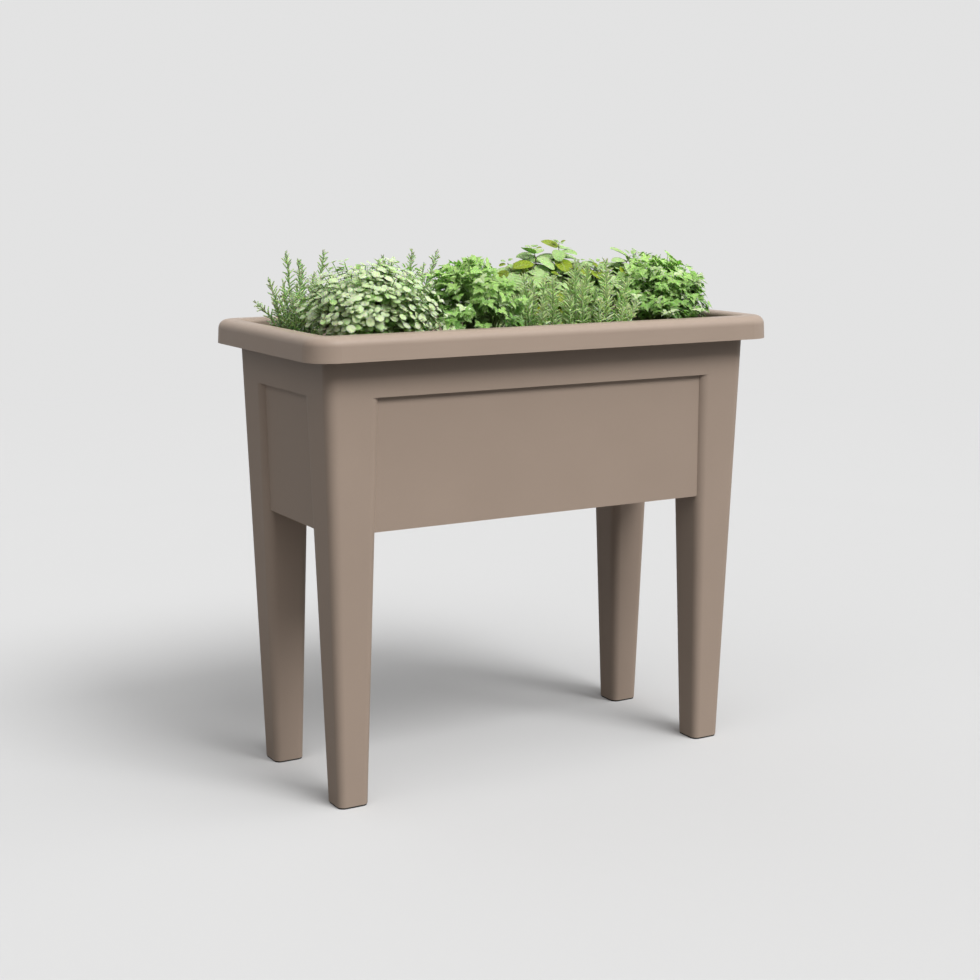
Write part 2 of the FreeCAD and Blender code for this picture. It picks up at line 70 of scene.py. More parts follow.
# Steps of the even two-way sequence that spreads stalks over a plot
EVEN_STEPS = np.array([0.7548776662, 0.5698402910])
# The way that leaves turn to, where the light on the bed comes from
SUNWARD = (0.15, -0.62, 0.77)
# Faces that meet at more than this keep a crisp edge
CRISP_ANGLE = math.radians(62)
# Where a blade's map has its rib, and the length of its upper face, past which it maps the underside
RIB_AT = 0.5
UPPER_FACE = 1.0
# The range that most of a cloudy noise lies in
NOISE_MIDDLE: Range = (0.3, 0.7)
WHOLE: Range = (0.0, 1.0)

log = logging.getLogger("garden_bed")


class Slot(Enum):
    """Material slots of the record, one given to each new piece."""

    SOIL = "potting_soil"
    MARJORAM = "marjoram_leaf"
    PARSLEY = "parsley_leaf"
    ROSEMARY = "rosemary_needle"
    MINT = "mint_leaf"


class Graph:
    """The node tree of a material or of the world, with short calls for its nodes."""

    def __init__(self, owner: bpy.types.Material | bpy.types.World, output: str) -> None:
        """Empties the tree and adds its output.

        Args:
            owner: what the tree belongs to.
            output: type of the output node.
        """
        owner.use_nodes = True
        self.tree = owner.node_tree
        self.tree.nodes.clear()
        self.output = self.add(output)

    def add(self, kind: str, **settings: object) -> bpy.types.Node:
        """Adds a node.

        Args:
            kind: the node's type.
            settings: its properties.

        Returns:
            The node.
        """
        node = self.tree.nodes.new(kind)
        for name, value in settings.items():
            setattr(node, name, value)
        return node

    def link(self, source: Socket | float | Colour, target: Socket) -> None:
        """Feeds a socket.

        Args:
            source: another socket, or a plain number or colour.
            target: the socket that is fed.
        """
        if isinstance(source, bpy.types.NodeSocket):
            self.tree.links.new(source, target)
        elif isinstance(source, tuple):
            target.default_value = (*source, 1.0)
        else:
            target.default_value = source

    def show(self, shader: Socket) -> None:
        """Puts a shader on the output."""
        self.link(shader, self.output.inputs["Surface"])

    def plain(self, kind: str, colour: Socket | Colour) -> Socket:
        """A simple shader.

        Args:
            kind: its node's type.
            colour: its colour.

        Returns:
            The shader.
        """
        node = self.add(kind)
        self.link(colour, node.inputs["Color"])
        return node.outputs[0]

    def show_mix(self, share: Socket, first: Socket, second: Socket) -> None:
        """Puts a mix of two shaders on the output.

        Args:
            share: of the second shader.
            first: a shader.
            second: another shader.
        """
        node = self.add("ShaderNodeMixShader")
        for source, target in zip((share, first, second), node.inputs):
            self.link(source, target)
        self.show(node.outputs[0])

    def place(self) -> Socket:
        """The point on the piece, in metres."""
        return self.add("ShaderNodeTexCoord").outputs["Object"]

    def attribute(self, name: str) -> Socket:
        """A number that the mesh holds at each of its points."""
        return self.add("ShaderNodeAttribute", attribute_name=name).outputs["Fac"]

    def noise(self, scale: float, detail: float) -> Socket:
        """Cloudy noise about one half.

        Args:
            scale: clouds per metre.
            detail: octaves of finer noise on top.

        Returns:
            The noise's value.
        """
        node = self.add("ShaderNodeTexNoise")
        self.link(self.place(), node.inputs["Vector"])
        self.link(scale, node.inputs["Scale"])
        self.link(detail, node.inputs["Detail"])
        return node.outputs["Fac"]

    def cells(self, scale: float) -> Socket:
        """Cells about scattered seeds.

        Args:
            scale: seeds per metre.

        Returns:
            The distance to the nearest seed, in cells.
        """
        node = self.add("ShaderNodeTexVoronoi")
        self.link(self.place(), node.inputs["Vector"])
        self.link(scale, node.inputs["Scale"])
        return node.outputs["Distance"]

    def sum(self, operation: str, first: Socket | float, second: Socket | float = 0.0) -> Socket:
        """One step of arithmetic.

        Args:
            operation: the step, such as ADD or MULTIPLY.
            first: the first number.
            second: the second number.

        Returns:
            The result.
        """
        node = self.add("ShaderNodeMath", operation=operation)
        self.link(first, node.inputs[0])
        self.link(second, node.inputs[1])
        return node.outputs[0]

    def spread(self, value: Socket, of: Range, to: Range = WHOLE) -> Socket:
        """Maps a range of numbers onto another one and holds it at both ends.

        Args:
            value: the number.
            of: the range it is in.
            to: the range it gets.

        Returns:
            The number in its new range.
        """
        node = self.add("ShaderNodeMapRange")
        for socket, number in zip(node.inputs, (value, *of, *to)):
            self.link(number, socket)
        return node.outputs[0]

    def blend(self, share: Socket | float, first: Socket | Colour, second: Socket | Colour) -> Socket:
        """A colour between two others.

        Args:
            share: of the second colour.
            first: a colour.
            second: another colour.

        Returns:
            The blended colour.
        """
        node = self.add("ShaderNodeMix", data_type="RGBA")
        inputs = {socket.identifier: socket for socket in node.inputs}
        outputs = {socket.identifier: socket for socket in node.outputs}
        self.link(share, inputs["Factor_Float"])
        self.link(first, inputs["A_Color"])
        self.link(second, inputs["B_Color"])
        return outputs["Result_Color"]


class Surface(Graph):
    """A material with one principled shader."""

    def __init__(self, name: str) -> None:
        """Starts the material.

        Args:
            name: the material's name.
        """
        self.material = bpy.data.materials.new(name)
        super().__init__(self.material, "ShaderNodeOutputMaterial")
        self.shader = self.add("ShaderNodeBsdfPrincipled")
        self.show(self.shader.outputs["BSDF"])

    def coat(self, colour: Socket | Colour, roughness: Socket | float, **values: float) -> None:
        """Sets the shader.

        Args:
            colour: its base colour.
            roughness: its roughness.
            values: plain values of its other sockets, by name with underscores.
        """
        self.link(colour, self.shader.inputs["Base Color"])
        self.link(roughness, self.shader.inputs["Roughness"])
        for name, value in values.items():
            self.link(value, self.shader.inputs[name.replace("_", " ")])

    def bump(self, height: Socket, distance: float) -> None:
        """Raises the surface.

        Args:
            height: by how much, as a number.
            distance: in metres, for a height of one.
        """
        node = self.add("ShaderNodeBump")
        self.link(1.0, node.inputs["Strength"])
        self.link(distance, node.inputs["Distance"])
        self.link(height, node.inputs["Height"])
        self.link(node.outputs["Normal"], self.shader.inputs["Normal"])


@dataclass(frozen=True)
class MouldedPlastic:
    """Plastic from a mould with a fine eroded grain, a little mottled and worn smooth in patches.

    Attributes:
        name: of the material.
        colour: of the plastic.
        roughness: of its surface, on average.
        grain: the eroded grain.
        grain_depth: height of the grain.
        mottle: share by which the colour rises and falls.
        clouds: the broad mottle.
        specks: the fine mottle.
        cloud_share: share of the broad mottle, against the fine one.
        wear: rise and fall of the roughness.
        sheen: strength of the plain reflection.
    """

    name: str
    colour: Colour
    roughness: float
    grain: Noise = (2600.0, 1.0)
    grain_depth: float = 0.00006
    mottle: float = 0.025
    clouds: Noise = (9.0, 4.0)
    specks: Noise = (420.0, 2.0)
    cloud_share: float = 0.7
    wear: float = 0.05
    sheen: float = 0.25

    def material(self) -> bpy.types.Material:
        """Builds the finish.

        Returns:
            The material: mottled colour, roughness that changes with the broad mottle, and the grain as bump.
        """
        graph = Surface(self.name)
        clouds = graph.noise(*self.clouds)
        broad = graph.sum("MULTIPLY", clouds, self.cloud_share)
        fine = graph.sum("MULTIPLY", graph.noise(*self.specks), 1 - self.cloud_share)
        lighter = tuple(channel * (1 + self.mottle) for channel in self.colour)
        darker = tuple(channel * (1 - self.mottle) for channel in self.colour)
        colour = graph.blend(graph.spread(graph.sum("ADD", broad, fine), NOISE_MIDDLE), darker, lighter)
        worn = (self.roughness - self.wear, self.roughness + self.wear)
        graph.coat(colour, graph.spread(clouds, NOISE_MIDDLE, worn), Specular_IOR_Level=self.sheen)
        graph.bump(graph.noise(*self.grain), self.grain_depth)
        return graph.material


@dataclass(frozen=True)
class Rubber:
    """Matt rubber, dusty in patches.

    Attributes:
        name: of the material.
        colour: of clean rubber.
        dust: colour of the dust.
        patches: the patches of dust.
        dusty: range of that noise over which the dust thickens.
        thickest: most share of dust.
        roughness: of clean rubber and of the thickest dust.
        grain: the rubber's grain.
        grain_depth: height of the grain.
    """

    name: str = "black_rubber"
    colour: Colour = (0.022, 0.021, 0.020)
    dust: Colour = (0.060, 0.056, 0.051)
    patches: Noise = (60.0, 5.0)
    dusty: Range = (0.45, 0.75)
    thickest: float = 0.6
    roughness: Range = (0.7, 0.92)
    grain: Noise = (1500.0, 2.0)
    grain_depth: float = 0.00008

    def material(self) -> bpy.types.Material:
        """Builds the finish.

        Returns:
            The material: dust in patches, rougher where it is thick, and the grain as bump.
        """
        graph = Surface(self.name)
        dust = graph.spread(graph.noise(*self.patches), self.dusty, (0.0, self.thickest))
        rough = graph.spread(dust, (0.0, self.thickest), self.roughness)
        graph.coat(graph.blend(dust, self.colour, self.dust), rough)
        graph.bump(graph.noise(*self.grain), self.grain_depth)
        return graph.material


@dataclass(frozen=True)
class ZincPlate:
    """Zinc plated steel: bright, with a faint spangle and dull spots.

    Attributes:
        name: of the material.
        colour: of bright zinc.
        dull: of the dull spots.
        spangles: crystals per metre.
        spangle_size: distance from a crystal's middle over which the roughness changes.
        roughness: at a crystal's middle and at its edge.
        spangle_depth: height of the crystals.
        spots: the spots.
        spotted: range of that noise over which the zinc turns dull.
    """

    name: str = "zinc_steel"
    colour: Colour = (0.62, 0.63, 0.63)
    dull: Colour = (0.44, 0.43, 0.41)
    spangles: float = 700.0
    spangle_size: Range = (0.0, 0.8)
    roughness: Range = (0.26, 0.42)
    spangle_depth: float = 0.00003
    spots: Noise = (350.0, 4.0)
    spotted: Range = (0.5, 0.7)

    def material(self) -> bpy.types.Material:
        """Builds the finish.

        Returns:
            The material: dull spots in its colour, and the spangle in its roughness and bump.
        """
        graph = Surface(self.name)
        spangle = graph.cells(self.spangles)
        spots = graph.spread(graph.noise(*self.spots), self.spotted)
        rough = graph.spread(spangle, self.spangle_size, self.roughness)
        graph.coat(graph.blend(spots, self.colour, self.dull), rough, Metallic=1.0)
        graph.bump(spangle, self.spangle_depth)
        return graph.material


@dataclass(frozen=True)
class PottingSoil:
    """Moist potting soil: dark crumbs with paler fibres and dry tops.

    Attributes:
        name: of the material.
        moist: colour of moist soil.
        dry: colour of dry soil.
        fibre: colour of the fibres.
        crumbs: crumbs per metre.
        crumb_depth: height of the crumbs.
        patches: the dry patches.
        drying: range of that noise over which the soil turns dry.
        roughness: of moist soil and of dry soil.
        fibres: the noise whose peaks are fibres.
        fibrous: range of that noise over which fibres show.
        fibre_share: most share of the fibres' colour.
        sheen: strength of the plain reflection.
    """

    name: str = "potting_soil"
    moist: Colour = (0.018, 0.011, 0.007)
    dry: Colour = (0.075, 0.048, 0.030)
    fibre: Colour = (0.16, 0.105, 0.06)
    crumbs: float = 260.0
    crumb_depth: float = 0.003
    patches: Noise = (120.0, 6.0)
    drying: Range = (0.4, 0.7)
    roughness: Range = (0.8, 0.97)
    fibres: Noise = (900.0, 2.0)
    fibrous: Range = (0.66, 0.74)
    fibre_share: float = 0.7
    sheen: float = 0.25

    def material(self) -> bpy.types.Material:
        """Builds the finish.

        Returns:
            The material: dry patches and fibres in its colour, and crumbs in its bump.
        """
        graph = Surface(self.name)
        crumbs = graph.cells(self.crumbs)
        patches = graph.noise(*self.patches)
        colour = graph.blend(graph.spread(patches, self.drying), self.moist, self.dry)
        fibres = graph.spread(graph.noise(*self.fibres), self.fibrous, (0.0, self.fibre_share))
        colour = graph.blend(fibres, colour, self.fibre)
        rough = graph.spread(patches, NOISE_MIDDLE, self.roughness)
        graph.coat(colour, rough, Specular_IOR_Level=self.sheen)
        graph.bump(graph.sum("SUBTRACT", patches, crumbs), self.crumb_depth)
        return graph.material


@dataclass(frozen=True)
class Leaf:
    """A leaf's finish: old colour that doubles as painted shade, young colour, odd leaves, a paler rib and
    underside.

    Attributes:
        name: of the material.
        old: colour of old leaves, which also paints the shade deep in the clump.
        young: colour of young leaves.
        odd: colour of the odd leaves.
        underside: colour of the underside and of the rib.
        odd_share: share of leaves that are odd.
        odd_ages: shares of that share among old leaves and among young ones.
        uneven: fall and rise of a leaf's age by its tint.
        patches: the patches of old colour.
        patchy: range of that noise over which they show.
        patch_share: most share of the old colour in them.
        rib: share of the underside's colour on the rib.
        rib_width: of the rib, as a share of the blade.
        underside_share: share of the underside's colour underneath.
        roughness: of the upper face.
        dull: how much rougher the underside is.
        sheen: strength of the plain reflection.
        veins: quarter turns of the vein wave along the blade.
        slant: how far the veins run back from the rib, against their way aside.
        rib_height: depth of the rib against the veins.
        vein_depth: height of the veins.
        glow: share of light that passes into the blade.
        glow_radius: how far it goes, in red, green and blue.
    """

    name: str
    old: Colour
    young: Colour
    odd: Colour
    underside: Colour
    odd_share: float = 0.1
    odd_ages: Pair = (1.4, 0.4)
    uneven: Range = (-0.3, 0.3)
    patches: Noise = (240.0, 3.0)
    patchy: Range = (0.35, 0.65)
    patch_share: float = 0.18
    rib: float = 0.35
    rib_width: float = 0.06
    underside_share: float = 0.6
    roughness: float = 0.5
    dull: float = 0.2
    sheen: float = 0.2
    veins: float = 26.0
    slant: float = 0.5
    rib_height: float = 4.0
    vein_depth: float = 0.00022
    glow: float = 0.5
    glow_radius: Colour = (0.0015, 0.0025, 0.0008)

    def material(self) -> bpy.types.Material:
        """Builds the finish from the blade's map: across it from 0 to 1, along it, and past 1 underneath.

        Returns:
            The material, with veins and rib as bump.
        """
        graph = Surface(self.name)
        split = graph.add("ShaderNodeSeparateXYZ")
        graph.link(graph.add("ShaderNodeUVMap", uv_map="Blade").outputs["UV"], split.inputs[0])
        aside = graph.sum("ABSOLUTE", graph.sum("SUBTRACT", split.outputs["X"], RIB_AT))
        along = split.outputs["Y"]
        under = graph.sum("GREATER_THAN", along, UPPER_FACE)
        tint, age = graph.attribute("tint"), graph.attribute("age")
        # Painted shade: leaves deep or low in the clump have a small age, so the dark old colour there stands
        # for their shade as well as their older growth.
        mixed = graph.sum("ADD", age, graph.spread(tint, WHOLE, self.uneven))
        colour = graph.blend(graph.spread(mixed, WHOLE), self.old, self.young)
        old_odd, young_odd = (share * self.odd_share for share in self.odd_ages)
        odd = graph.sum("LESS_THAN", tint, graph.spread(age, WHOLE, (old_odd, young_odd)))
        colour = graph.blend(odd, colour, self.odd)
        patches = graph.spread(graph.noise(*self.patches), self.patchy, (0.0, self.patch_share))
        colour = graph.blend(patches, colour, self.old)
        rib = graph.spread(aside, (0.0, self.rib_width), (self.rib, 0.0))
        colour = graph.blend(rib, colour, self.underside)
        colour = graph.blend(graph.sum("MULTIPLY", under, self.underside_share), colour, self.underside)
        rough = graph.spread(under, WHOLE, (self.roughness, self.roughness + self.dull))
        graph.coat(
            colour, rough, Specular_IOR_Level=self.sheen, Subsurface_Weight=self.glow, Subsurface_Scale=1.0
        )
        graph.shader.inputs["Subsurface Radius"].default_value = self.glow_radius
        slanted = graph.sum("SUBTRACT", along, graph.sum("MULTIPLY", aside, self.slant))
        waves = graph.sum("SINE", graph.sum("MULTIPLY", slanted, math.pi / 2 * self.veins))
        ridges = graph.sum("SUBTRACT", waves, graph.sum("MULTIPLY", rib, self.rib_height))
        graph.bump(ridges, self.vein_depth)
        return graph.material


@dataclass(frozen=True)
class Stem:
    """A stem's finish, from the woody root to the soft tip.

    Attributes:
        name: of the material.
        root: colour at the root.
        tip: colour at the tip.
        streaks: the streaks of either colour.
        swing: fall and rise of the colour's share in them.
        roughness: of the stem.
        bark: the bark's grain.
        bark_depth: height of the bark.
    """

    name: str
    root: Colour
    tip: Colour
    streaks: Noise = (300.0, 4.0)
    swing: Range = (-0.25, 0.25)
    roughness: float = 0.6
    bark: Noise = (900.0, 2.0)
    bark_depth: float = 0.0001

    def material(self) -> bpy.types.Material:
        """Builds the finish from the stem's age, which is the share of its height.

        Returns:
            The material, with the bark as bump.
        """
        graph = Surface(self.name)
        streaks = graph.spread(graph.noise(*self.streaks), NOISE_MIDDLE, self.swing)
        share = graph.sum("ADD", graph.attribute("age"), streaks)
        graph.coat(graph.blend(graph.spread(share, WHOLE), self.root, self.tip), self.roughness)
        graph.bump(graph.noise(*self.bark), self.bark_depth)
        return graph.material


@dataclass
class Patch:
    """Triangles of one finish, with what the finish reads from them.

    Attributes:
        points: places of the points, one row each.
        triangles: three point numbers a row.
        corners: the map's two numbers at each triangle's corners.
        tint: a random share for each point, the same all over one blade.
        age: a share for each point, from old growth to the young tip, which on leaves also sets painted
            shade.
        finish: number of its material in the piece's list.
    """

    points: Array
    triangles: Array
    corners: Array
    tint: Array
    age: Array
    finish: int = 0

    @classmethod
    def of_copies(
        cls, points: Array, faces: Array, corners: Array, tint: Array, age: Array, finish: int = 0
    ) -> "Patch":
        """Joins copies of one shape.

        Args:
            points: places, by copy and point.
            faces: three point numbers a row, in one copy.
            corners: the map at the corners of one copy's triangles.
            tint: a random share for each copy.
            age: a share for each point of a copy, or a column with one for each copy.
            finish: number of their material.

        Returns:
            The copies in one patch.
        """
        copies, each = points.shape[:2]
        return cls(
            points.reshape(-1, 3),
            repeated(faces, each, copies),
            np.tile(corners, (copies, 1, 1)),
            np.repeat(tint, each),
            np.broadcast_to(age, (copies, each)).ravel(),
            finish,
        )


def put(name: str, data: bpy.types.ID) -> bpy.types.Object:
    """Adds an object to the scene.

    Args:
        name: of the object.
        data: its mesh, lamp or camera.

    Returns:
        The object, at the origin.
    """
    thing = bpy.data.objects.new(name, data)
    bpy.context.scene.collection.objects.link(thing)
    return thing


@dataclass(frozen=True)
class Piece:
    """A finished mesh object of the bed, and how it joins the frame."""

    name: str
    slot: Slot
    replaces: str

    def build(self, patches: list[Patch], materials: list[bpy.types.Material]) -> bpy.types.Object:
        """Makes one mesh of some patches and sets it on its body in place of its CAD solid.

        Args:
            patches: the triangles.
            materials: the finishes that the patches number.

        Returns:
            The object, at the origin, with its place in its mesh.
        """
        first_point = np.cumsum([0] + [len(patch.points) for patch in patches[:-1]])
        points = np.concatenate([patch.points for patch in patches])
        triangles = np.concatenate([patch.triangles + start for patch, start in zip(patches, first_point)])
        corners = np.concatenate([patch.corners for patch in patches])
        finishes = np.concatenate([np.full(len(patch.triangles), patch.finish) for patch in patches])
        mesh = bpy.data.meshes.new(self.name)
        mesh.vertices.add(len(points))
        mesh.vertices.foreach_set("co", points.astype(np.float32).ravel())
        mesh.loops.add(triangles.size)
        mesh.loops.foreach_set("vertex_index", triangles.astype(np.int32).ravel())
        mesh.polygons.add(len(triangles))
        mesh.polygons.foreach_set("loop_start", np.arange(0, triangles.size, 3, dtype=np.int32))
        mesh.polygons.foreach_set("material_index", finishes.astype(np.int32))
        mesh.update(calc_edges=True)
        mesh.uv_layers.new(name="Blade").data.foreach_set("uv", corners.astype(np.float32).ravel())
        for name in ("tint", "age"):
            values = np.concatenate([getattr(patch, name) for patch in patches])
            attribute = mesh.attributes.new(name, "FLOAT", "POINT")
            attribute.data.foreach_set("value", values.astype(np.float32))
        for material in materials:
            mesh.materials.append(material)
        mesh.shade_smooth()
        mesh.set_sharp_from_angle(angle=CRISP_ANGLE)
        mesh.validate()
        piece = put(self.name, mesh)
        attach(piece, PLANTED_BODY)
        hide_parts(self.replaces)
        log.info("%s: %d triangles", self.name, len(triangles))
        return piece


def unit(vectors: Array) -> Array:
    """Vectors along the last axis, each at length one."""
    return vectors / np.linalg.norm(vectors, axis=-1, keepdims=True)


def square_to(vectors: Array, axis: Array) -> Array:
    """The part of some vectors that is square to an axis, at length one."""
    return unit(vectors - (vectors * axis).sum(-1, keepdims=True) * axis)


def about(ahead: Array) -> tuple[Array, Array]:
    """Two directions square to each stem's direction and to each other, of length one."""
    across = unit(np.cross(ahead, SIDELONG))
    return across, np.cross(ahead, across)


def even_places(count: int, first: int = 0, offset: float = 0.0) -> Array:
    """Places of an even two-way sequence over a square that runs from -1 to 1 both ways."""
    return 2 * ((offset + EVEN_STEPS * (first + np.arange(count)[:, None])) % 1.0) - 1


def repeated(triangles: Array, points_each: int, copies: int) -> Array:
    """The triangles of one shape, numbered on for a number of copies."""
    starts = points_each * np.arange(copies)
    return (triangles[None] + starts[:, None, None]).reshape(-1, 3)


def ring_faces(rings: int, count: int) -> tuple[Array, Array]:
    """Triangles of a closed skin: a point, some rings of a count of points, and a last point.

    Args:
        rings: number of rings, numbered on from point 1.
        count: points in one ring.

    Returns:
        Three point numbers a row, facing out where the rings turn left about the way they run, and for each
        triangle the number of its column in the ring.
    """
    ring = 1 + np.arange(rings * count).reshape(rings, count)
    after = np.roll(ring, -1, axis=1)
    column = np.arange(count)
    first = np.stack([np.zeros(count, int), after[0], ring[0]], axis=-1)
    last = np.stack([ring[-1], after[-1], np.full(count, rings * count + 1)], axis=-1)
    lower = np.stack([ring[:-1], after[:-1], after[1:]], axis=-1).reshape(-1, 3)
    upper = np.stack([ring[:-1], after[1:], ring[1:]], axis=-1).reshape(-1, 3)
    strip = np.tile(column, rings - 1)
    return np.concatenate([first, lower, upper, last]), np.concatenate([column, strip, strip, column])


@dataclass
class Seats:
    """Where many leaves grow.

    Attributes:
        base: where each leaf starts.
        along: the way each one points at its base, of length one.
        up: the way its upper face looks, of length one and square to along.
        tint: a random share for each leaf.
        age: the share from old to young growth of each leaf, which also sets its painted shade deep in the
            clump.
    """

    base: Array
    along: Array
    up: Array
    tint: Array
    age: Array

    def leaves(self, aside: Array, reach: Array, height: Array, faces: Array, corners: Array) -> Patch:
        """Sets one leaf's skin on every seat: base + aside (along x up) + reach along + height up.

        Args:
            aside: distance of each point to the leaf's side, by leaf and point.
            reach: distance along the leaf.
            height: distance over the leaf.
            faces: three point numbers a row, in one leaf.
            corners: the map at the corners of one leaf's triangles.

        Returns:
            The leaves in one patch.
        """
        sideways = np.cross(self.along, self.up)
        points = self.base[:, None] + aside[..., None] * sideways[:, None]
        points = points + reach[..., None] * self.along[:, None] + height[..., None] * self.up[:, None]
        return Patch.of_copies(points, faces, corners, self.tint, self.age[:, None])


@dataclass(frozen=True)
class Blade:
    """A leaf or needle as a closed thin skin.

    At share s of its length the half width is s^p (1-s)^q, scaled to reach 1 at its widest. A point at share
    a across lies a half widths aside, is raised by the fold for each metre aside, and stands half the
    thickness over or under the sheet. The sheet then bends down round a level axis by an even curve.

    Attributes:
        rows: shares of the length at which the skin has a ring.
        across: points on the upper face from edge to edge.
        p: how blunt the base is, sharper towards 1.
        q: how blunt the tip is, sharper towards 1.
        thickness: of the middle, in metres.
        fold: rise of the edges, as a slope.
    """

    rows: tuple[float, ...] = (0.1, 0.5, 0.9)
    across: int = 3
    p: float = 0.5
    q: float = 0.5
    thickness: float = 0.001
    fold: float = 0.1

    def grow(self, seats: Seats, length: Array, width: Array, bend: Array) -> Patch:
        """Grows many blades at once.

        Args:
            seats: where they grow.
            length: of each blade.
            width: of each blade at its widest.
            bend: the angle that each blade turns down by, above zero.

        Returns:
            The blades in one patch.
        """
        top = np.linspace(-1.0, 1.0, self.across)
        loop = np.concatenate([top, top[-2:0:-1]])
        side = np.concatenate([np.sign(1.0 - np.abs(top)), -np.ones(self.across - 2)])
        rows = np.array(self.rows)
        share = np.concatenate([[0.0], np.repeat(rows, len(loop)), [1.0]])
        across = np.concatenate([[0.0], np.tile(loop, len(rows)), [0.0]])
        face = np.concatenate([[0.0], np.tile(side, len(rows)), [0.0]])
        widest = self.p / (self.p + self.q)
        outline = share**self.p * (1 - share) ** self.q / (widest**self.p * (1 - widest) ** self.q)

        aside = across * outline * width[:, None] / 2
        lift = face * np.sqrt(outline) * self.thickness / 2 + self.fold * np.abs(aside)
        turn = bend[:, None] * share
        reach = length[:, None] * np.sin(turn) / bend[:, None] + lift * np.sin(turn)
        height = length[:, None] * (np.cos(turn) - 1) / bend[:, None] + lift * np.cos(turn)

        faces, column = ring_faces(len(rows), len(loop))
        under = UPPER_FACE * (column >= self.across - 1)
        corners = np.stack([RIB_AT + across[faces] / 2, share[faces] + under[:, None]], axis=-1)
        return seats.leaves(aside, reach, height, faces, corners)


@dataclass(frozen=True)
class Leaflet:
    """A lobed leaflet as a closed thin fan.

    Its rim lies at angle f either side of its axis, at a radius that swells three times into lobes, shrinks
    towards the back and carries a tooth at every other point. The sheet between base and rim falls with the
    square of the radius and rises by the fold for each metre aside.

    Attributes:
        points: points on the rim, an odd number.
        opening: the widest angle of the rim from the axis.
        lobes: number of lobes from the axis to either side.
        overrun: angle at which the last lobe ends, as a share of the widest angle.
        lobe: share of the radius that is lost between two lobes.
        tooth: share of the radius that is lost between two teeth.
        back: share of the radius that is lost at the widest angle.
        inner: share of the radius at which the upper face has a second ring.
        belly: share of the radius at which the underside has its middle.
        thickness: of the middle, in metres.
        fold: rise of the sides, as a slope.
        droop: fall of the rim, as a share of the radius.
        map_end: most of the map's upper face that is used.
    """

    points: int = 17
    opening: float = math.radians(112)
    lobes: float = 1.5
    overrun: float = 1.02
    lobe: float = 0.41
    tooth: float = 0.2
    back: float = 0.3
    inner: float = 0.55
    belly: float = 0.12
    thickness: float = 0.0005
    fold: float = 0.18
    droop: float = 0.13
    map_end: float = 0.99

    def grow(self, seats: Seats, radius: Array) -> Patch:
        """Grows many leaflets at once.

        Args:
            seats: where they join their stalks.
            radius: from the base to the tip of each.

        Returns:
            The leaflets in one patch.
        """
        angle = np.linspace(-self.opening, self.opening, self.points)
        swell = np.cos(self.lobes * math.pi * angle / (self.opening * self.overrun)) ** 2
        rim = (1 - self.lobe + self.lobe * swell) * (1 - self.back * (angle / self.opening) ** 2)
        rim = rim * (1 - self.tooth * (np.arange(self.points) % 2))
        ring = np.concatenate([self.inner * np.sin(angle) * rim, np.sin(angle) * rim])
        ahead = np.concatenate([self.inner * np.cos(angle) * rim, np.cos(angle) * rim])
        aside = np.concatenate([[0.0, 0.0], ring])
        reach = np.concatenate([[0.0, self.belly], ahead])
        level = np.concatenate([[0.0, -1.0], np.ones(self.points), np.zeros(self.points)])
        fall = np.hypot(aside, reach) ** 2
        size = radius[:, None]
        height = size * (self.fold * np.abs(aside) - self.droop * fall) + level * self.thickness / 2

        inner = 2 + np.arange(self.points)
        outer = inner + self.points
        wedges = self.points - 1
        top = [
            np.stack([np.zeros(wedges, int), inner[1:], inner[:-1]], axis=-1),
            np.stack([inner[:-1], inner[1:], outer[1:]], axis=-1),
            np.stack([inner[:-1], outer[1:], outer[:-1]], axis=-1),
        ]
        underside = np.stack([np.ones(wedges, int), outer[:-1], outer[1:]], axis=-1)
        ends = np.array([
            [0, inner[0], outer[0]], [0, outer[0], 1], [0, outer[-1], inner[-1]], [0, 1, outer[-1]],
        ])
        faces = np.concatenate([*top, underside, ends])
        under = np.zeros(len(faces))
        under[len(top) * wedges:(len(top) + 1) * wedges] = UPPER_FACE
        mapped = np.clip(reach[faces], 0.0, self.map_end) + under[:, None]
        corners = np.stack([RIB_AT + aside[faces] / 2, mapped], axis=-1)
        return seats.leaves(size * aside, size * reach, height, faces, corners)


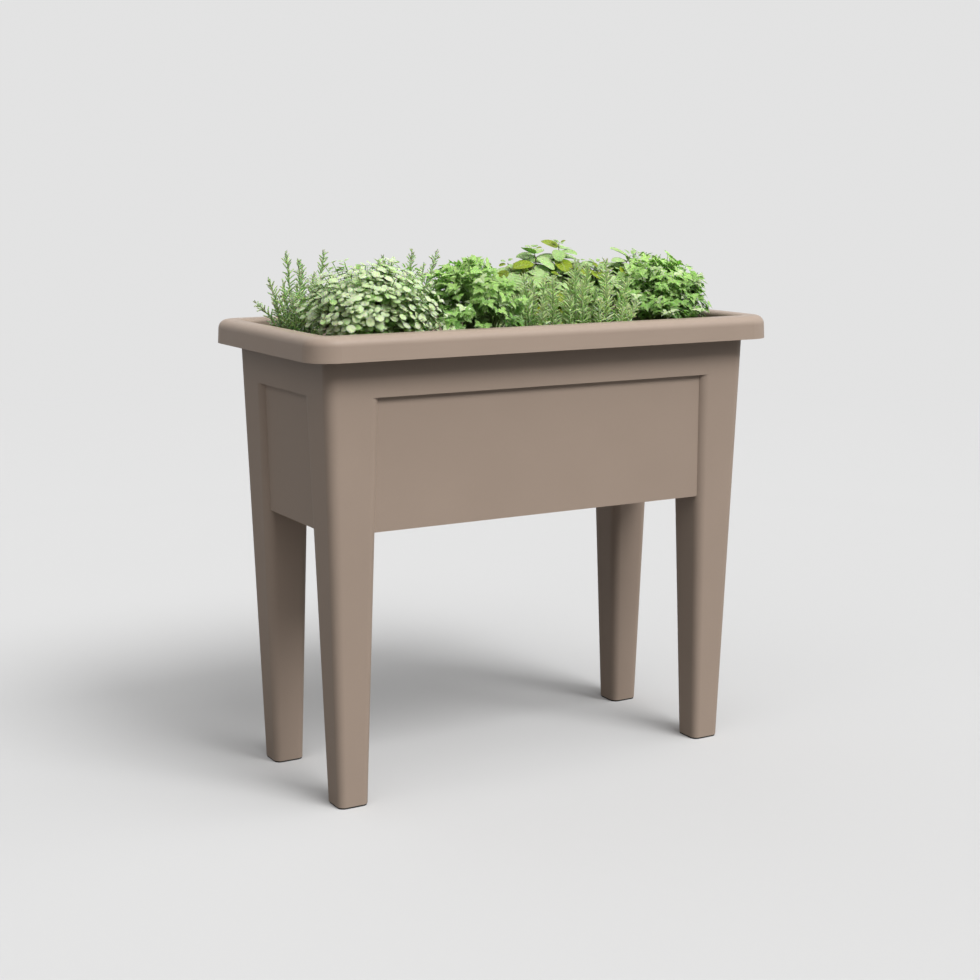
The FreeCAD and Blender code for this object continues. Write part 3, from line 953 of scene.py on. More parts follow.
@dataclass
class Stalks:
    """Stalks of one clump: each is a curve that leaves its root towards its knee and ends at its tip."""

    root: Array
    knee: Array
    tip: Array

    def at(self, share: Array) -> tuple[Array, Array]:
        """Places and directions along the stalks.

        Args:
            share: shares of each stalk, from root to tip, one row for each stalk.

        Returns:
            The places (1-t)^2 root + 2t(1-t) knee + t^2 tip, and the directions there, of length one.
        """
        t = share[..., None]
        root, knee, tip = self.root[:, None], self.knee[:, None], self.tip[:, None]
        places = (1 - t) ** 2 * root + 2 * t * (1 - t) * knee + t**2 * tip
        return places, unit((1 - t) * (knee - root) + t * (tip - knee))

    def lengths(self) -> Array:
        """Length of each stalk: the mean of its straight line and of the way by its knee."""
        by_knee = np.linalg.norm(self.knee - self.root, axis=1) + np.linalg.norm(self.tip - self.knee, axis=1)
        return (np.linalg.norm(self.tip - self.root, axis=1) + by_knee) / 2

    def tubes(self, thick: float, thin: float, tint: Array, rings: int = 7, sides: int = 5) -> Patch:
        """Round stems along the stalks: a circle carried along each curve, closed by a point at either end.

        Args:
            thick: radius at the root.
            thin: radius at the tip.
            tint: a random share for each stalk.
            rings: circles along one stalk.
            sides: points in one circle.

        Returns:
            The stems in one patch, with the second finish of the piece.
        """
        share = np.tile(np.linspace(0.0, 1.0, rings), (len(self.root), 1))
        places, ahead = self.at(share)
        across, other = about(ahead)
        angle = np.linspace(0.0, FULL_TURN, sides, endpoint=False)
        radius = (thick + (thin - thick) * share)[..., None, None]
        circle = np.cos(angle)[:, None] * across[:, :, None] + np.sin(angle)[:, None] * other[:, :, None]
        rings_at = (places[:, :, None] + radius * circle).reshape(len(self.root), -1, 3)
        points = np.concatenate([places[:, :1], rings_at, places[:, -1:]], axis=1)
        faces, _ = ring_faces(rings, sides)
        age = np.concatenate([[0.0], np.repeat(share[0], sides), [1.0]])
        round_share = np.concatenate([[0.0], np.tile(angle / FULL_TURN, rings), [0.0]])
        corners = np.stack([round_share[faces], age[faces]], axis=-1)
        return Patch.of_copies(points, faces, corners, tint, age, finish=1)


def set_round(ahead: Array, turn: Array, rise: Array) -> tuple[Array, Array]:
    """Directions of leaves that are set round a stem.

    Args:
        ahead: the stem's direction at each leaf.
        turn: the leaf's angle round the stem.
        rise: the leaf's angle from square to the stem towards the stem's tip.

    Returns:
        The way each leaf points and the way its upper face looks, both of length one.
    """
    across, other = about(ahead)
    out = np.cos(turn)[..., None] * across + np.sin(turn)[..., None] * other
    along = np.cos(rise)[..., None] * out + np.sin(rise)[..., None] * ahead
    look = np.cos(rise)[..., None] * ahead - np.sin(rise)[..., None] * out
    return along, look


@dataclass(frozen=True)
class Tub:
    """The space inside the tub's wall that leaves stay in below the rim."""

    inside_length: float = 0.684
    inside_width: float = 0.297
    rim_level: float = 0.668

    def keep_inside(self, patch: Patch) -> Patch:
        """Moves points that would reach into the wall back to it, with a limit that opens above the rim.

        Args:
            patch: what may reach into the wall.

        Returns:
            The same patch, with its points moved.
        """
        above = np.maximum(patch.points[:, 2] - self.rim_level, 0.0)
        for axis, inside in enumerate((self.inside_length, self.inside_width)):
            limit = inside / 2 + above
            patch.points[:, axis] = np.clip(patch.points[:, axis], -limit, limit)
        return patch


@dataclass
class Clump:
    """One herb on its plot: stalks that rise from the soil, with leaves along them.

    Attributes:
        node: the CAD solids that the clump stands for, which give its place.
        slot: the record's material slot.
        leaf: finish of the leaves.
        stem: finish of the stems.
        fillers: number of stalks spread over the plot.
        seed: of the random draws.
        leaders: tips of further stalks that stand out of the clump.
        crown: share of the plot's height that the fillers reach.
        dome: share of that height that is lost at the plot's edge.
        flat: power of the share of the way out at which the height falls, higher for a flatter top.
        shortest: least share of the height that a filler has.
        rounding: how far the plot's corners are drawn in, from 0 for a rectangle to 1 for an oval.
        foot: spread of the roots, as a share of the plot.
        splay: spread of the tips, as a share of the plot.
        wander: scatter of the tips.
        knee: shares of the way out and of the way up at which a stalk's knee lies.
        sunk: depth of the roots in the soil.
        stem_radii: radius of a stem at its root and at its tip.
        tub: what the leaves stay inside.
    """

    node: str
    slot: Slot
    leaf: Leaf
    stem: Stem
    fillers: int
    seed: int
    leaders: tuple[Place, ...] = ()
    crown: float = 1.0
    dome: float = 0.4
    flat: float = 4.0
    shortest: float = 0.8
    rounding: float = 0.3
    foot: float = 0.7
    splay: float = 0.92
    wander: float = 0.005
    knee: Pair = (0.15, 0.6)
    sunk: float = 0.004
    stem_radii: Pair = (0.0012, 0.0006)
    tub: Tub = Tub()

    def __post_init__(self) -> None:
        """Reads the plot from the frame and starts the random draws."""
        self.low, self.high = (np.array(corner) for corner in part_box(self.node))
        self.draw = np.random.default_rng(self.seed)

    def plant(self) -> Stalks:
        """Spreads the fillers evenly over the plot and leans all the stalks out from its middle.

        A filler's tip lies at an even two-way sequence over the plot, and its height falls with a power of
        its share of the way out. Every root lies in the same direction as its tip, nearer to the middle.

        Returns:
            The stalks, leaders last.
        """
        middle, half = (self.low + self.high)[:2] / 2, (self.high - self.low)[:2] / 2
        place = even_places(self.fillers, first=1)
        oval = np.abs(place).max(axis=1) / np.linalg.norm(place, axis=1)
        place = place * (1 + self.rounding * (oval - 1))[:, None]
        out = np.minimum(np.linalg.norm(place, axis=1), 1.0)
        rise = self.crown * (self.high[2] - self.low[2]) * (1 - self.dome * out**self.flat)
        rise = rise * self.draw.uniform(self.shortest, 1.0, self.fillers)
        around = middle + self.splay * place * half + self.draw.normal(0.0, self.wander, place.shape)
        fillers = np.column_stack([around, self.low[2] + rise])
        tip = np.concatenate([fillers, np.array(self.leaders).reshape(-1, 3)])
        place = np.clip((tip[:, :2] - middle) / half, -1.0, 1.0)
        foot = middle + self.foot * place * half
        root = np.column_stack([foot, np.full(len(tip), self.low[2] - self.sunk)])
        out_share, up_share = self.knee
        knee = root + (tip - root) * np.array([out_share, out_share, up_share])
        return Stalks(root, knee, tip)

    def foliage(self, stalks: Stalks) -> Patch:
        """Leaves of the herb along its stalks, which each kind of herb sets in its own way."""
        raise NotImplementedError

    def build(self) -> bpy.types.Object:
        """Builds the clump.

        Returns:
            One piece of leaves and stems.
        """
        stalks = self.plant()
        stems = stalks.tubes(*self.stem_radii, self.draw.random(len(stalks.root)))
        patches = [self.tub.keep_inside(patch) for patch in (self.foliage(stalks), stems)]
        piece = Piece(f"{self.node}_plant", self.slot, self.node)
        return piece.build(patches, [self.leaf.material(), self.stem.material()])


@dataclass
class BladeHerb(Clump):
    """A herb whose leaves are plain blades, set round each stem at even steps from its tip down.

    A leaf's size, its slope and its age change with its distance from the tip, from those of the young tip to
    those of full growth.

    Attributes:
        blade: form of a leaf.
        length: of a full leaf.
        width: of a full leaf.
        step: distance from one level of leaves to the next.
        uneven: least and most share of a step that a leaf is set off its level.
        levels: most levels on a stem.
        each: leaves at one level.
        turn: turn from one level to the next.
        bare: share of the stem that has no leaves, from its root.
        full_at: distance from the tip at which leaves have their full size and slope.
        old_at: distance from the tip at which leaves are old and take the full painted shade of the clump's
            inside.
        tip_size: size of the leaves at the tip, as a share of the full size.
        rise: slope of the leaves towards the tip, in radians, at the tip and in full growth.
        bend: least and most angle that a leaf bends down by.
        size_range: least and most share of its size that a leaf has.
        scatter: spread of the leaves' angles, round the stem and up it.
        sunward: how far the leaves' faces turn to the light.
        faces: the way that they turn.
        neck: distance of a leaf's base from the stem's middle.
    """

    blade: Blade = Blade()
    length: float = 0.015
    width: float = 0.012
    step: float = 0.012
    uneven: Range = (-0.2, 0.2)
    levels: int = 8
    each: int = 2
    turn: float = math.pi / 2
    bare: float = 0.15
    full_at: float = 0.015
    old_at: float = 0.09
    tip_size: float = 0.45
    rise: Pair = (0.8, 0.2)
    bend: Range = (0.1, 0.6)
    size_range: Range = (0.75, 1.1)
    scatter: Pair = (0.3, 0.2)
    sunward: float = 0.0
    faces: Place = SUNWARD
    neck: float = 0.001

    def foliage(self, stalks: Stalks) -> Patch:
        """Sets the leaves round the stems, those of one level evenly, and every level turned on.

        Args:
            stalks: the stems.

        Returns:
            The leaves in one patch.
        """
        level = np.repeat(np.arange(self.levels), self.each)
        spoke = np.tile(np.arange(self.each), self.levels)
        count = len(stalks.root)
        below = self.step * (level + self.draw.uniform(*self.uneven, (count, level.size))).clip(0)
        share = 1 - below / stalks.lengths()[:, None]
        kept = share > self.bare
        base, ahead = stalks.at(share)
        start = self.draw.uniform(0, FULL_TURN, (count, 1))
        angle = self.turn * level + FULL_TURN / self.each * spoke + start
        angle = angle + self.draw.normal(0, self.scatter[0], share.shape)
        grown = np.minimum(below / self.full_at, 1.0)
        rise = self.rise[0] + (self.rise[1] - self.rise[0]) * grown
        along, look = set_round(ahead, angle, rise + self.draw.normal(0, self.scatter[1], share.shape))
        look = unit(look + self.sunward * np.array(self.faces))
        along = square_to(along, look)
        size = self.tip_size + (1 - self.tip_size) * grown
        size = size * self.draw.uniform(*self.size_range, share.shape)
        # Leaves further below the tip, deeper in the clump, get a smaller age and so the darker old colour:
        # painted shade as well as older growth.
        age = 1 - np.minimum(below / self.old_at, 1.0)
        bend = self.draw.uniform(*self.bend, share.shape)
        tint = self.draw.random(share.shape)
        base = base + self.neck * along
        seats = Seats(base[kept], along[kept], look[kept], tint[kept], age[kept])
        return self.blade.grow(seats, self.length * size[kept], self.width * size[kept], bend[kept])


@dataclass
class Rosemary(BladeHerb):
    """Upright sprigs set all round with narrow needles."""

    blade: Blade = Blade(rows=(0.08, 0.45, 0.85), across=3, p=0.25, q=0.45, thickness=0.0022, fold=0.0)
    length: float = 0.015
    width: float = 0.003
    step: float = 0.0038
    levels: int = 32
    turn: float = math.pi / 2 + 0.12
    bare: float = 0.08
    full_at: float = 0.018
    old_at: float = 0.12
    tip_size: float = 0.5
    rise: Pair = (1.25, 0.84)
    bend: Range = (0.15, 0.5)
    size_range: Range = (0.75, 1.15)
    scatter: Pair = (0.4, 0.22)
    stem_radii: Pair = (0.0016, 0.0006)


@dataclass
class GreyRosemary(Rosemary):
    """Rosemary with shorter needles that lie closer to the stem."""

    length: float = 0.0118
    rise: Pair = (1.3, 0.95)


@dataclass
class Marjoram(BladeHerb):
    """A dense dome of small round leaves in crossed pairs."""

    blade: Blade = Blade(
        rows=(0.04, 0.2, 0.48, 0.76, 0.95), across=3, p=0.48, q=0.38, thickness=0.0011, fold=0.1
    )
    length: float = 0.0138
    width: float = 0.0122
    step: float = 0.0095
    levels: int = 9
    full_at: float = 0.012
    old_at: float = 0.08
    tip_size: float = 0.55
    rise: Pair = (0.7, 0.05)
    scatter: Pair = (0.35, 0.4)
    sunward: float = 0.75
    faces: Place = (-0.05, -0.5, 0.86)
    knee: Pair = (0.1, 0.68)
    neck: float = 0.0015


@dataclass
class Mint(BladeHerb):
    """Tall stems with wide leaves in crossed pairs, close together near the tip."""

    blade: Blade = Blade(
        rows=(0.05, 0.2, 0.4, 0.6, 0.8, 0.94), across=5, p=0.48, q=0.5, thickness=0.0009, fold=0.16
    )
    length: float = 0.037
    width: float = 0.030
    step: float = 0.013
    levels: int = 6
    each: int = 4
    turn: float = math.pi / 4
    full_at: float = 0.013
    old_at: float = 0.1
    tip_size: float = 0.28
    rise: Pair = (0.8, -0.1)
    bend: Range = (0.1, 0.8)
    size_range: Range = (0.65, 1.05)
    scatter: Pair = (0.3, 0.38)
    sunward: float = 0.9
    faces: Place = (-0.15, -0.62, 0.77)
    neck: float = 0.004


@dataclass
class Parsley(Clump):
    """Long leaf stalks, each with five lobed leaflets.

    Attributes:
        leaflet: form of a leaflet.
        radius: of the largest leaflet.
        leaflets: on one stalk, share of the stalk, turn from its direction and share of the radius.
        tilt: how far a leaf looks outwards, against up.
        sunward: how far it turns to the light.
        scatter: spread of the leaf's outward direction, of its look and of its leaflets' turns.
        neck: distance of a leaflet's base from the stalk.
        size_range: least and most share of its size that a leaflet has.
    """

    leaflet: Leaflet = Leaflet()
    radius: float = 0.0145
    leaflets: tuple[tuple[float, float, float], ...] = (
        (1.0, 0.0, 1.0), (0.97, 1.1, 0.85), (0.97, -1.1, 0.85), (0.86, 1.3, 0.9), (0.86, -1.3, 0.9),
    )
    tilt: float = 0.8
    sunward: float = 0.5
    scatter: tuple[float, float, float] = (0.35, 0.4, 0.2)
    neck: float = 0.004
    size_range: Range = (0.7, 1.2)
    stem_radii: Pair = (0.0011, 0.0005)

    def foliage(self, stalks: Stalks) -> Patch:
        """Sets leaflets at the end of each stalk and in pairs below it, turned up and out to the light.

        Args:
            stalks: the leaf stalks.

        Returns:
            The leaflets in one patch.
        """
        place, turn, size = (np.array(column) for column in zip(*self.leaflets))
        share = np.tile(place, (len(stalks.root), 1))
        base, ahead = stalks.at(share)
        level = ahead[:, :1] + self.draw.normal(0, self.scatter[0], (len(share), 1, 3))
        level = unit(level * (1 - UP))
        faced = UP + self.tilt * level + self.sunward * np.array(SUNWARD)
        look = unit(faced + self.draw.normal(0, self.scatter[1], base.shape))
        out = square_to(level, look)
        angle = (turn + self.draw.normal(0, self.scatter[2], share.shape))[..., None]
        along = np.cos(angle) * out + np.sin(angle) * np.cross(look, out)
        radius = self.radius * size * self.draw.uniform(*self.size_range, share.shape)
        # The leaflets' height in the plot serves as their age, so lower leaflets take the darker old colour:
        # painted shade low in the clump as well as older growth.
        height = (base[..., 2] - self.low[2]) / (self.high[2] - self.low[2])
        base = base + self.neck * along
        rows = (values.reshape(-1, 3) for values in (base, along, look))
        seats = Seats(*rows, self.draw.random(share.size), np.clip(height, 0, 1).ravel())
        return self.leaflet.grow(seats, radius.ravel())


@dataclass
class Soil:
    """The soil in the tub: an uneven top with loose crumbs on it, on a block that follows the tub's inside.

    Attributes:
        finish: of the soil.
        corner: radius of the block's upright edges.
        least_corner: their least radius where the block is narrower.
        corner_points: points round one of them.
        steps: points round the block.
        rings: rings on the top, from the edge to the middle.
        relief: height of the lumps if all their waves met.
        waves: number of waves that make the lumps.
        wavelengths: shortest and longest of them.
        settled: share of the way in from the edge at which the lumps have their height.
        ledge: level at which the block narrows, and by how much.
        core: level at which it narrows again, clear of the leg sockets, and by how much.
        crumbs: number of loose crumbs.
        crumb_start: where their even sequence starts.
        crumb_size: radius of a crumb, least and most.
        crumb_sides: points in one of a crumb's two rings.
        crumb_tilt: angle of the rings over and under its middle.
        crumb_twist: turn of the lower ring against the upper one.
        crumb_lumps: least and most share of its radius that one of its points has.
        crumb_stretch: least and most share of its size that it has along one axis.
        proud: height of its middle over the soil, as a share of its size.
        margin: distance of the crumbs from the tub.
        seed: of the random draws.
    """

    finish: PottingSoil = PottingSoil()
    corner: float = 0.0115
    least_corner: float = 0.003
    corner_points: int = 9
    steps: int = 300
    rings: int = 44
    relief: float = 0.0105
    waves: int = 28
    wavelengths: Range = (0.012, 0.075)
    settled: float = 0.04
    ledge: Pair = (0.5845, 0.0095)
    core: Pair = (0.482, 0.085)
    crumbs: int = 900
    crumb_start: float = 0.5
    crumb_size: Range = (0.0012, 0.0042)
    crumb_sides: int = 5
    crumb_tilt: float = 0.5
    crumb_twist: float = 0.6
    crumb_lumps: Range = (0.7, 1.3)
    crumb_stretch: Range = (0.6, 1.2)
    proud: float = 0.3
    margin: float = 0.006
    seed: int = 41

    def __post_init__(self) -> None:
        """Reads the block's place from the frame, starts the random draws and draws the waves."""
        self.low, self.high = (np.array(corner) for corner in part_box("soil"))
        self.draw = np.random.default_rng(self.seed)
        wavelength = self.draw.uniform(*self.wavelengths, self.waves)
        heading = self.draw.uniform(0, FULL_TURN, self.waves)
        self.runs = FULL_TURN / wavelength * np.stack([np.cos(heading), np.sin(heading)])
        self.phases = self.draw.uniform(0, FULL_TURN, self.waves)
        self.heights = wavelength / wavelength.sum()

    def lumps(self, places: Array) -> Array:
        """Height of the uneven top: a sum of sine waves of many lengths and headings, longer ones higher."""
        return self.relief * (np.sin(places @ self.runs + self.phases) * self.heights).sum(-1)

    def outline(self, inset: float) -> Array:
        """Points round the block: a rectangle with round corners, in even steps.

        Args:
            inset: how far it is set in.

        Returns:
            The points' places, seen from above.
        """
        half = self.high[:2] - inset
        radius = max(self.corner - inset, self.least_corner)
        turn = np.linspace(0, math.pi / 2, self.corner_points)
        quarter = np.stack([np.cos(turn), np.sin(turn)], axis=-1) * radius + (half - radius)
        flipped = quarter[::-1]
        corners = (quarter, flipped * [-1, 1], quarter * [-1, -1], flipped * [1, -1], quarter[:1])
        path = np.concatenate(corners)
        travelled = np.concatenate([[0], np.cumsum(np.linalg.norm(np.diff(path, axis=0), axis=1))])
        steps = np.linspace(0, travelled[-1], self.steps, endpoint=False)
        return np.stack([np.interp(steps, travelled, path[:, axis]) for axis in (0, 1)], axis=-1)

    def block(self) -> Patch:
        """The block's skin: its outline carried down a stepped profile, with a lumpy top and a flat bottom.

        Returns:
            The skin.
        """
        edge = self.outline(0.0)
        spread = np.linspace(0, 1, self.rings + 1)[1:]
        top = spread[:, None, None] * edge
        risen = np.minimum((1 - spread) / self.settled, 1.0)[:, None]
        levels = self.high[2] + self.lumps(top) * risen
        cap = np.concatenate([top, levels[..., None]], axis=-1)
        profile = (
            (0.0, self.ledge[0]), (self.ledge[1], self.ledge[0]), (self.ledge[1], self.core[0]),
            (self.core[1], self.core[0]), (self.core[1], self.low[2]),
        )
        walls = [
            np.column_stack([self.outline(inset), np.full(self.steps, level)]) for inset, level in profile
        ]
        rings = np.concatenate([cap, np.stack(walls)])
        crown = np.array([[0.0, 0.0, self.high[2] + float(self.lumps(np.zeros(2)))]])
        foot = np.array([[0.0, 0.0, self.low[2]]])
        points = np.concatenate([crown, rings.reshape(-1, 3), foot])
        faces, _ = ring_faces(len(rings), self.steps)
        return self.bare_patch(points, faces[:, ::-1])

    def loose_crumbs(self) -> Patch:
        """Crumbs on the top: lumpy little balls of two rings, partly sunk, each of its own size and shape.

        Returns:
            The crumbs.
        """
        place = even_places(self.crumbs, offset=self.crumb_start)
        place = place * (self.high[:2] - self.margin)
        size = self.draw.uniform(*self.crumb_size, self.crumbs)
        sides = self.crumb_sides
        tilt = np.repeat([self.crumb_tilt, -self.crumb_tilt], sides)
        angle = np.tile(np.linspace(0, FULL_TURN, sides, endpoint=False), 2)
        angle = angle + np.repeat([0.0, self.crumb_twist], sides)
        ball = np.stack([np.cos(angle) * np.cos(tilt), np.sin(angle) * np.cos(tilt), np.sin(tilt)], axis=-1)
        ball = np.concatenate([[UP], ball, [-UP]])
        shape = ball * self.draw.uniform(*self.crumb_lumps, (self.crumbs, len(ball), 1))
        shape = shape * self.draw.uniform(*self.crumb_stretch, (self.crumbs, 1, 3))
        centre = np.column_stack([place, self.high[2] + self.lumps(place) + self.proud * size])
        points = (centre[:, None] + size[:, None, None] * shape).reshape(-1, 3)
        faces, _ = ring_faces(2, sides)
        return self.bare_patch(points, repeated(faces[:, ::-1], len(ball), self.crumbs))

    def bare_patch(self, points: Array, faces: Array) -> Patch:
        """A patch whose map is its place from above."""
        blank = np.zeros(len(points))
        return Patch(points, faces, points[faces][..., :2], blank, blank)

    def build(self) -> bpy.types.Object:
        """Builds the soil as one piece."""
        piece = Piece("soil_fill", Slot.SOIL, "soil")
        return piece.build([self.block(), self.loose_crumbs()], [self.finish.material()])


@dataclass
class Moulding:
    """CAD pieces that keep their shape and share one finish."""

    finish: MouldedPlastic | Rubber | ZincPlate
    nodes: tuple[str, ...]

    def dress(self) -> None:
        """Puts the finish on every node."""
        material = self.finish.material()
        for name in self.nodes:
            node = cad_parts[name]
            node.data.materials.clear()
            node.data.materials.append(material)
            log.info("%s: %s", name, self.finish.name)


@dataclass(frozen=True)
class SunLamp:
    """A far lamp.

    Attributes:
        name: of the lamp.
        heading: where it stands round the bed, in degrees from +X.
        height: how high it stands, in degrees from level.
        breadth: how broad it looks, in degrees.
        strength: of its light.
    """

    name: str
    heading: float
    height: float
    breadth: float
    strength: float

    def build(self) -> None:
        """Adds the lamp."""
        lamp = bpy.data.lights.new(self.name, "SUN")
        lamp.angle = math.radians(self.breadth)
        lamp.energy = self.strength
        stand = put(self.name, lamp)
        stand.rotation_euler = (0.0, math.radians(90 - self.height), math.radians(self.heading))


def grey(level: float) -> Colour:
    """The colour of a grey."""
    return (level, level, level)


@dataclass
class Studio:
    """Camera, pale floor, plain backdrop and soft lamps.

    Attributes:
        eye: place of the camera.
        lens: focal length in millimetres, for a sensor 36 mm wide.
        tilt: angle of the view below level, in degrees.
        turn: angle of the view from +Y, in degrees.
        roll: lean of the picture, in degrees.
        backdrop: grey that the camera sees behind everything.
        floor: grey of the floor, as the camera sees it and as it lights the bed from below.
        ambient: grey of the light from all round.
        floor_reach: half width of the floor.
        fade: distances from the bed between which the floor turns into the backdrop.
        lamps: the lamps.
    """

    eye: Place = (-1.2902, -2.2137, 0.8766)
    lens: float = 63.05
    tilt: float = 10.44
    turn: float = -30.04
    roll: float = -0.05
    backdrop: float = 0.766
    floor: Pair = (0.62, 0.21)
    ambient: float = 0.0
    floor_reach: float = 8.0
    fade: Range = (2.2, 4.5)
    lamps: tuple[SunLamp, ...] = (
        SunLamp("key", heading=-70.0, height=46.0, breadth=26.0, strength=1.77),
        SunLamp("key_left", heading=-90.0, height=46.0, breadth=26.0, strength=0.65),
        SunLamp("high_front", heading=-70.0, height=75.0, breadth=40.0, strength=0.73),
        SunLamp("overhead", heading=0.0, height=90.0, breadth=110.0, strength=0.52),
        SunLamp("left_fill", heading=-150.0, height=40.0, breadth=60.0, strength=0.58),
        SunLamp("right_fill", heading=-30.0, height=30.0, breadth=60.0, strength=0.76),
        SunLamp("back_fill", heading=110.0, height=50.0, breadth=60.0, strength=0.29),
    )

    def add_camera(self) -> None:
        """Adds the camera at the photograph's viewpoint."""
        camera = bpy.data.cameras.new("camera")
        camera.lens = self.lens
        stand = put("camera", camera)
        stand.location = self.eye
        stand.rotation_euler = (
            math.radians(90 - self.tilt), math.radians(self.roll), math.radians(self.turn),
        )
        bpy.context.scene.camera = stand

    def add_floor(self) -> None:
        """Adds the floor: a pale matt sheet that keeps the shadow and turns into the backdrop further out."""
        reach = self.floor_reach
        corners = [(-reach, -reach, 0), (reach, -reach, 0), (reach, reach, 0), (-reach, reach, 0)]
        mesh = bpy.data.meshes.new("floor")
        mesh.from_pydata(corners, [], [(0, 1, 2, 3)])
        material = bpy.data.materials.new("floor")
        graph = Graph(material, "ShaderNodeOutputMaterial")
        away = graph.add("ShaderNodeVectorMath", operation="LENGTH")
        graph.link(graph.place(), away.inputs[0])
        far = graph.spread(away.outputs["Value"], self.fade)
        seen = graph.add("ShaderNodeLightPath").outputs["Is Camera Ray"]
        shown, bounced = (grey(level) for level in self.floor)
        sheet = graph.plain("ShaderNodeBsdfDiffuse", graph.blend(seen, bounced, shown))
        glow = graph.plain("ShaderNodeEmission", grey(self.backdrop))
        graph.show_mix(graph.sum("MULTIPLY", far, seen), sheet, glow)
        mesh.materials.append(material)
        put("floor", mesh)

    def add_world(self) -> None:
        """Adds light from all round, with the backdrop's grey for what the camera and reflections see."""
        world = bpy.data.worlds.new("backdrop")
        graph = Graph(world, "ShaderNodeOutputWorld")
        path = graph.add("ShaderNodeLightPath").outputs
        seen = graph.sum("MAXIMUM", path["Is Camera Ray"], path["Is Glossy Ray"])
        seen = graph.sum("MAXIMUM", seen, path["Is Transmission Ray"])
        around, behind = (
            graph.plain("ShaderNodeBackground", grey(level)) for level in (self.ambient, self.backdrop)
        )
        graph.show_mix(seen, around, behind)
        bpy.context.scene.world = world

    def build(self) -> None:
        """Sets up the whole studio."""
        self.add_camera()
        self.add_floor()
        self.add_world()
        for lamp in self.lamps:
            lamp.build()
        bpy.context.scene.view_settings.view_transform = "Standard"


CORNERS = ("front_left", "front_right", "back_left", "back_right")
TAUPE = MouldedPlastic("taupe_plastic", colour=(0.384, 0.298, 0.238), roughness=0.42)
CHARCOAL = MouldedPlastic("dark_plastic", colour=(0.05, 0.048, 0.045), roughness=0.48)
MOULDINGS = (
    Moulding(TAUPE, ("tub", *(f"leg_{corner}" for corner in CORNERS))),
    Moulding(CHARCOAL, ("drain_grid_left", "drain_grid_right", "drain_plug")),
    Moulding(Rubber(), (*(f"foot_pad_{corner}" for corner in CORNERS), "plug_seal")),
    Moulding(ZincPlate(), ("leg_screws",)),
)
# The old colours of the leaves are older growth and also painted shade deep in each clump.
GREY_NEEDLE = Leaf(
    "rosemary_grey", old=(0.34, 0.60, 0.18), young=(0.75, 0.99, 0.50), odd=(0.82, 0.99, 0.64),
    underside=(0.70, 0.92, 0.52), odd_share=0.25,
)
FRESH_NEEDLE = Leaf(
    "rosemary_fresh", old=(0.23, 0.55, 0.08), young=(0.79, 0.99, 0.46), odd=(0.84, 0.99, 0.62),
    underside=(0.72, 0.97, 0.50), odd_share=0.2,
)
PALE_LEAF = Leaf(
    "marjoram_leaf", old=(0.31, 0.55, 0.14), young=(0.79, 0.98, 0.57), odd=(0.52, 0.79, 0.31),
    underside=(0.58, 0.79, 0.38), odd_share=0.15,
)
LOBED_LEAF = Leaf(
    "parsley_leaf", old=(0.07, 0.20, 0.033), young=(0.49, 0.82, 0.22), odd=(0.66, 0.88, 0.42),
    underside=(0.44, 0.64, 0.30), odd_share=0.18,
)
WIDE_LEAF = Leaf(
    "mint_leaf", old=(0.19, 0.37, 0.06), young=(0.45, 0.63, 0.27), odd=(0.25, 0.32, 0.016),
    underside=(0.42, 0.57, 0.28), odd_share=0.36,
)
WOOD = Stem("rosemary_stem", root=(0.13, 0.20, 0.06), tip=(0.36, 0.58, 0.20))
GREEN_STEM = Stem("green_stem", root=(0.14, 0.20, 0.06), tip=(0.24, 0.40, 0.12))
RED_STEM = Stem("mint_stem", root=(0.07, 0.035, 0.025), tip=(0.12, 0.10, 0.05))
# Tips of the stalks that stand out of each clump, in the places that the photograph shows
MARJORAM_TIPS = (
    (-0.322, -0.005, 0.712), (-0.310, -0.015, 0.722), (-0.328, -0.022, 0.700), (-0.318, 0.000, 0.696),
    (-0.300, -0.010, 0.737), (-0.285, -0.020, 0.748), (-0.270, -0.010, 0.754), (-0.332, -0.030, 0.688),
    (-0.176, -0.125, 0.676), (-0.168, -0.120, 0.684), (-0.186, -0.130, 0.672), (-0.160, -0.112, 0.690),
    (-0.165, -0.128, 0.672), (-0.157, -0.125, 0.669), (-0.172, -0.131, 0.668), (-0.150, -0.122, 0.676),
    (-0.152, -0.070, 0.702), (-0.305, 0.045, 0.705), (-0.285, 0.035, 0.700), (-0.275, 0.020, 0.695),
    (-0.312, 0.060, 0.703),
)
PARSLEY_CENTRE_TIPS = (
    (-0.140, -0.122, 0.688), (-0.150, -0.130, 0.682), (-0.128, -0.128, 0.690), (-0.146, -0.131, 0.673),
    (-0.138, -0.132, 0.669), (-0.122, -0.060, 0.706), (-0.130, -0.040, 0.712),
)
ROSEMARY_FRONT_TIPS = (
    (-0.012, -0.100, 0.730), (0.034, -0.105, 0.722), (0.083, -0.090, 0.749), (0.106, -0.085, 0.742),
    (0.132, -0.100, 0.734), (0.142, -0.080, 0.748), (0.170, -0.100, 0.722), (0.060, -0.112, 0.698),
    (0.110, -0.115, 0.694), (0.010, -0.115, 0.688), (0.155, -0.115, 0.697), (0.170, -0.120, 0.684),
    (0.176, -0.080, 0.704), (0.182, -0.110, 0.690), (0.150, -0.124, 0.682), (0.161, -0.125, 0.676),
    (0.142, -0.126, 0.678),
)
PARSLEY_RIGHT_TIPS = (
    (0.190, -0.120, 0.690), (0.202, -0.126, 0.698), (0.185, -0.100, 0.702), (0.222, -0.130, 0.678),
    (0.246, -0.132, 0.676), (0.270, -0.130, 0.678), (0.294, -0.120, 0.680), (0.232, -0.124, 0.690),
    (0.298, -0.020, 0.755), (0.327, -0.030, 0.738), (0.268, -0.005, 0.757), (0.245, -0.060, 0.744),
)
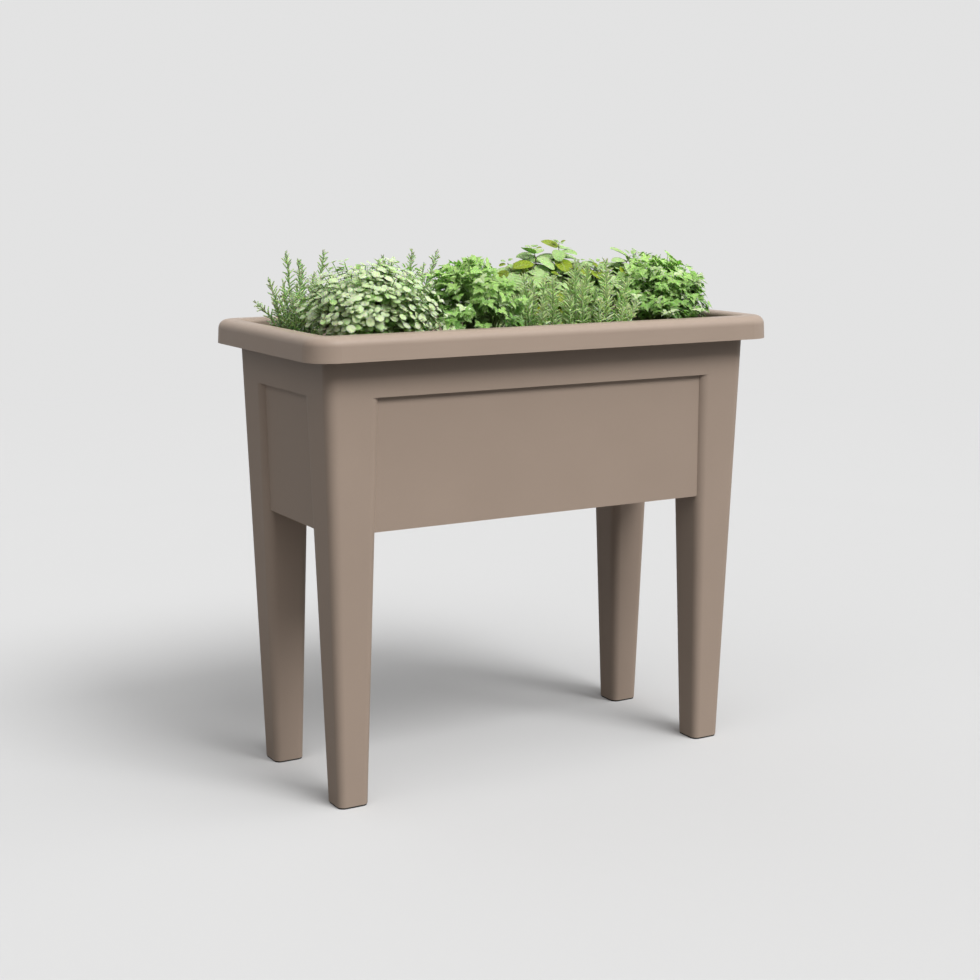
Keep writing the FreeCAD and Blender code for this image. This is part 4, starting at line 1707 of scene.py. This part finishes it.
ROSEMARY_LEFT_TIPS = (
    (-0.301, 0.080, 0.763), (-0.288, 0.065, 0.751), (-0.242, 0.080, 0.764), (-0.330, 0.075, 0.725),
    (-0.348, 0.080, 0.694), (-0.273, 0.050, 0.727), (-0.310, 0.040, 0.700), (-0.260, 0.055, 0.715),
    (-0.313, 0.065, 0.724), (-0.279, 0.075, 0.745), (-0.262, 0.070, 0.732), (-0.322, 0.058, 0.702),
    (-0.296, 0.045, 0.714),
)
ROSEMARY_BACK_TIPS = (
    (-0.141, 0.090, 0.753), (-0.152, 0.080, 0.746), (-0.093, 0.090, 0.761), (-0.071, 0.095, 0.739),
    (-0.052, 0.090, 0.759),
)
MINT_TIPS = (
    (0.164, 0.085, 0.769), (0.118, 0.085, 0.762), (0.312, 0.085, 0.752), (0.062, 0.070, 0.742),
    (0.290, 0.070, 0.748), (0.245, 0.080, 0.730), (0.105, 0.095, 0.738), (0.198, 0.080, 0.742),
    (0.085, 0.060, 0.728), (0.220, 0.055, 0.730), (0.150, 0.055, 0.722),
)


def herbs() -> list[Clump]:
    """Lays out the herbs of both rows.

    Returns:
        The clumps, each on the plot of its CAD solids.
    """
    return [
        Marjoram(
            "marjoram", Slot.MARJORAM, PALE_LEAF, GREEN_STEM, fillers=230, seed=11,
            dome=0.22, shortest=0.45, foot=0.45, splay=0.98,
            leaders=MARJORAM_TIPS,
        ),
        Parsley(
            "parsley_centre", Slot.PARSLEY, LOBED_LEAF, GREEN_STEM, fillers=170, seed=12,
            shortest=0.45, foot=0.6, splay=1.0,
            leaders=PARSLEY_CENTRE_TIPS,
        ),
        Rosemary(
            "rosemary_front", Slot.ROSEMARY, FRESH_NEEDLE, WOOD, fillers=22, seed=13,
            crown=0.66, dome=0.2, foot=0.95, splay=1.0,
            leaders=ROSEMARY_FRONT_TIPS,
        ),
        Parsley(
            "parsley_right", Slot.PARSLEY, LOBED_LEAF, GREEN_STEM, fillers=210, seed=47,
            crown=0.93, shortest=0.45, foot=0.6, splay=0.88, rounding=1.0,
            leaders=PARSLEY_RIGHT_TIPS,
        ),
        GreyRosemary(
            "rosemary_left", Slot.ROSEMARY, GREY_NEEDLE, WOOD, fillers=14, seed=15, crown=0.7, shortest=0.6,
            leaders=ROSEMARY_LEFT_TIPS,
        ),
        GreyRosemary(
            "rosemary_back", Slot.ROSEMARY, GREY_NEEDLE, WOOD, fillers=18, seed=16, crown=0.82, shortest=0.7,
            leaders=ROSEMARY_BACK_TIPS,
        ),
        Mint(
            "mint", Slot.MINT, WIDE_LEAF, RED_STEM, fillers=26, seed=17, crown=0.8, shortest=0.6, splay=0.85,
            leaders=MINT_TIPS,
        ),
    ]


def main() -> None:
    """Builds the studio, dresses the mouldings and grows the planting."""
    logging.basicConfig(level=logging.INFO, format="%(message)s")
    Studio().build()
    for moulding in MOULDINGS:
        moulding.dress()
    Soil().build()
    for clump in herbs():
        clump.build()


if __name__ == "__main__":
    main()
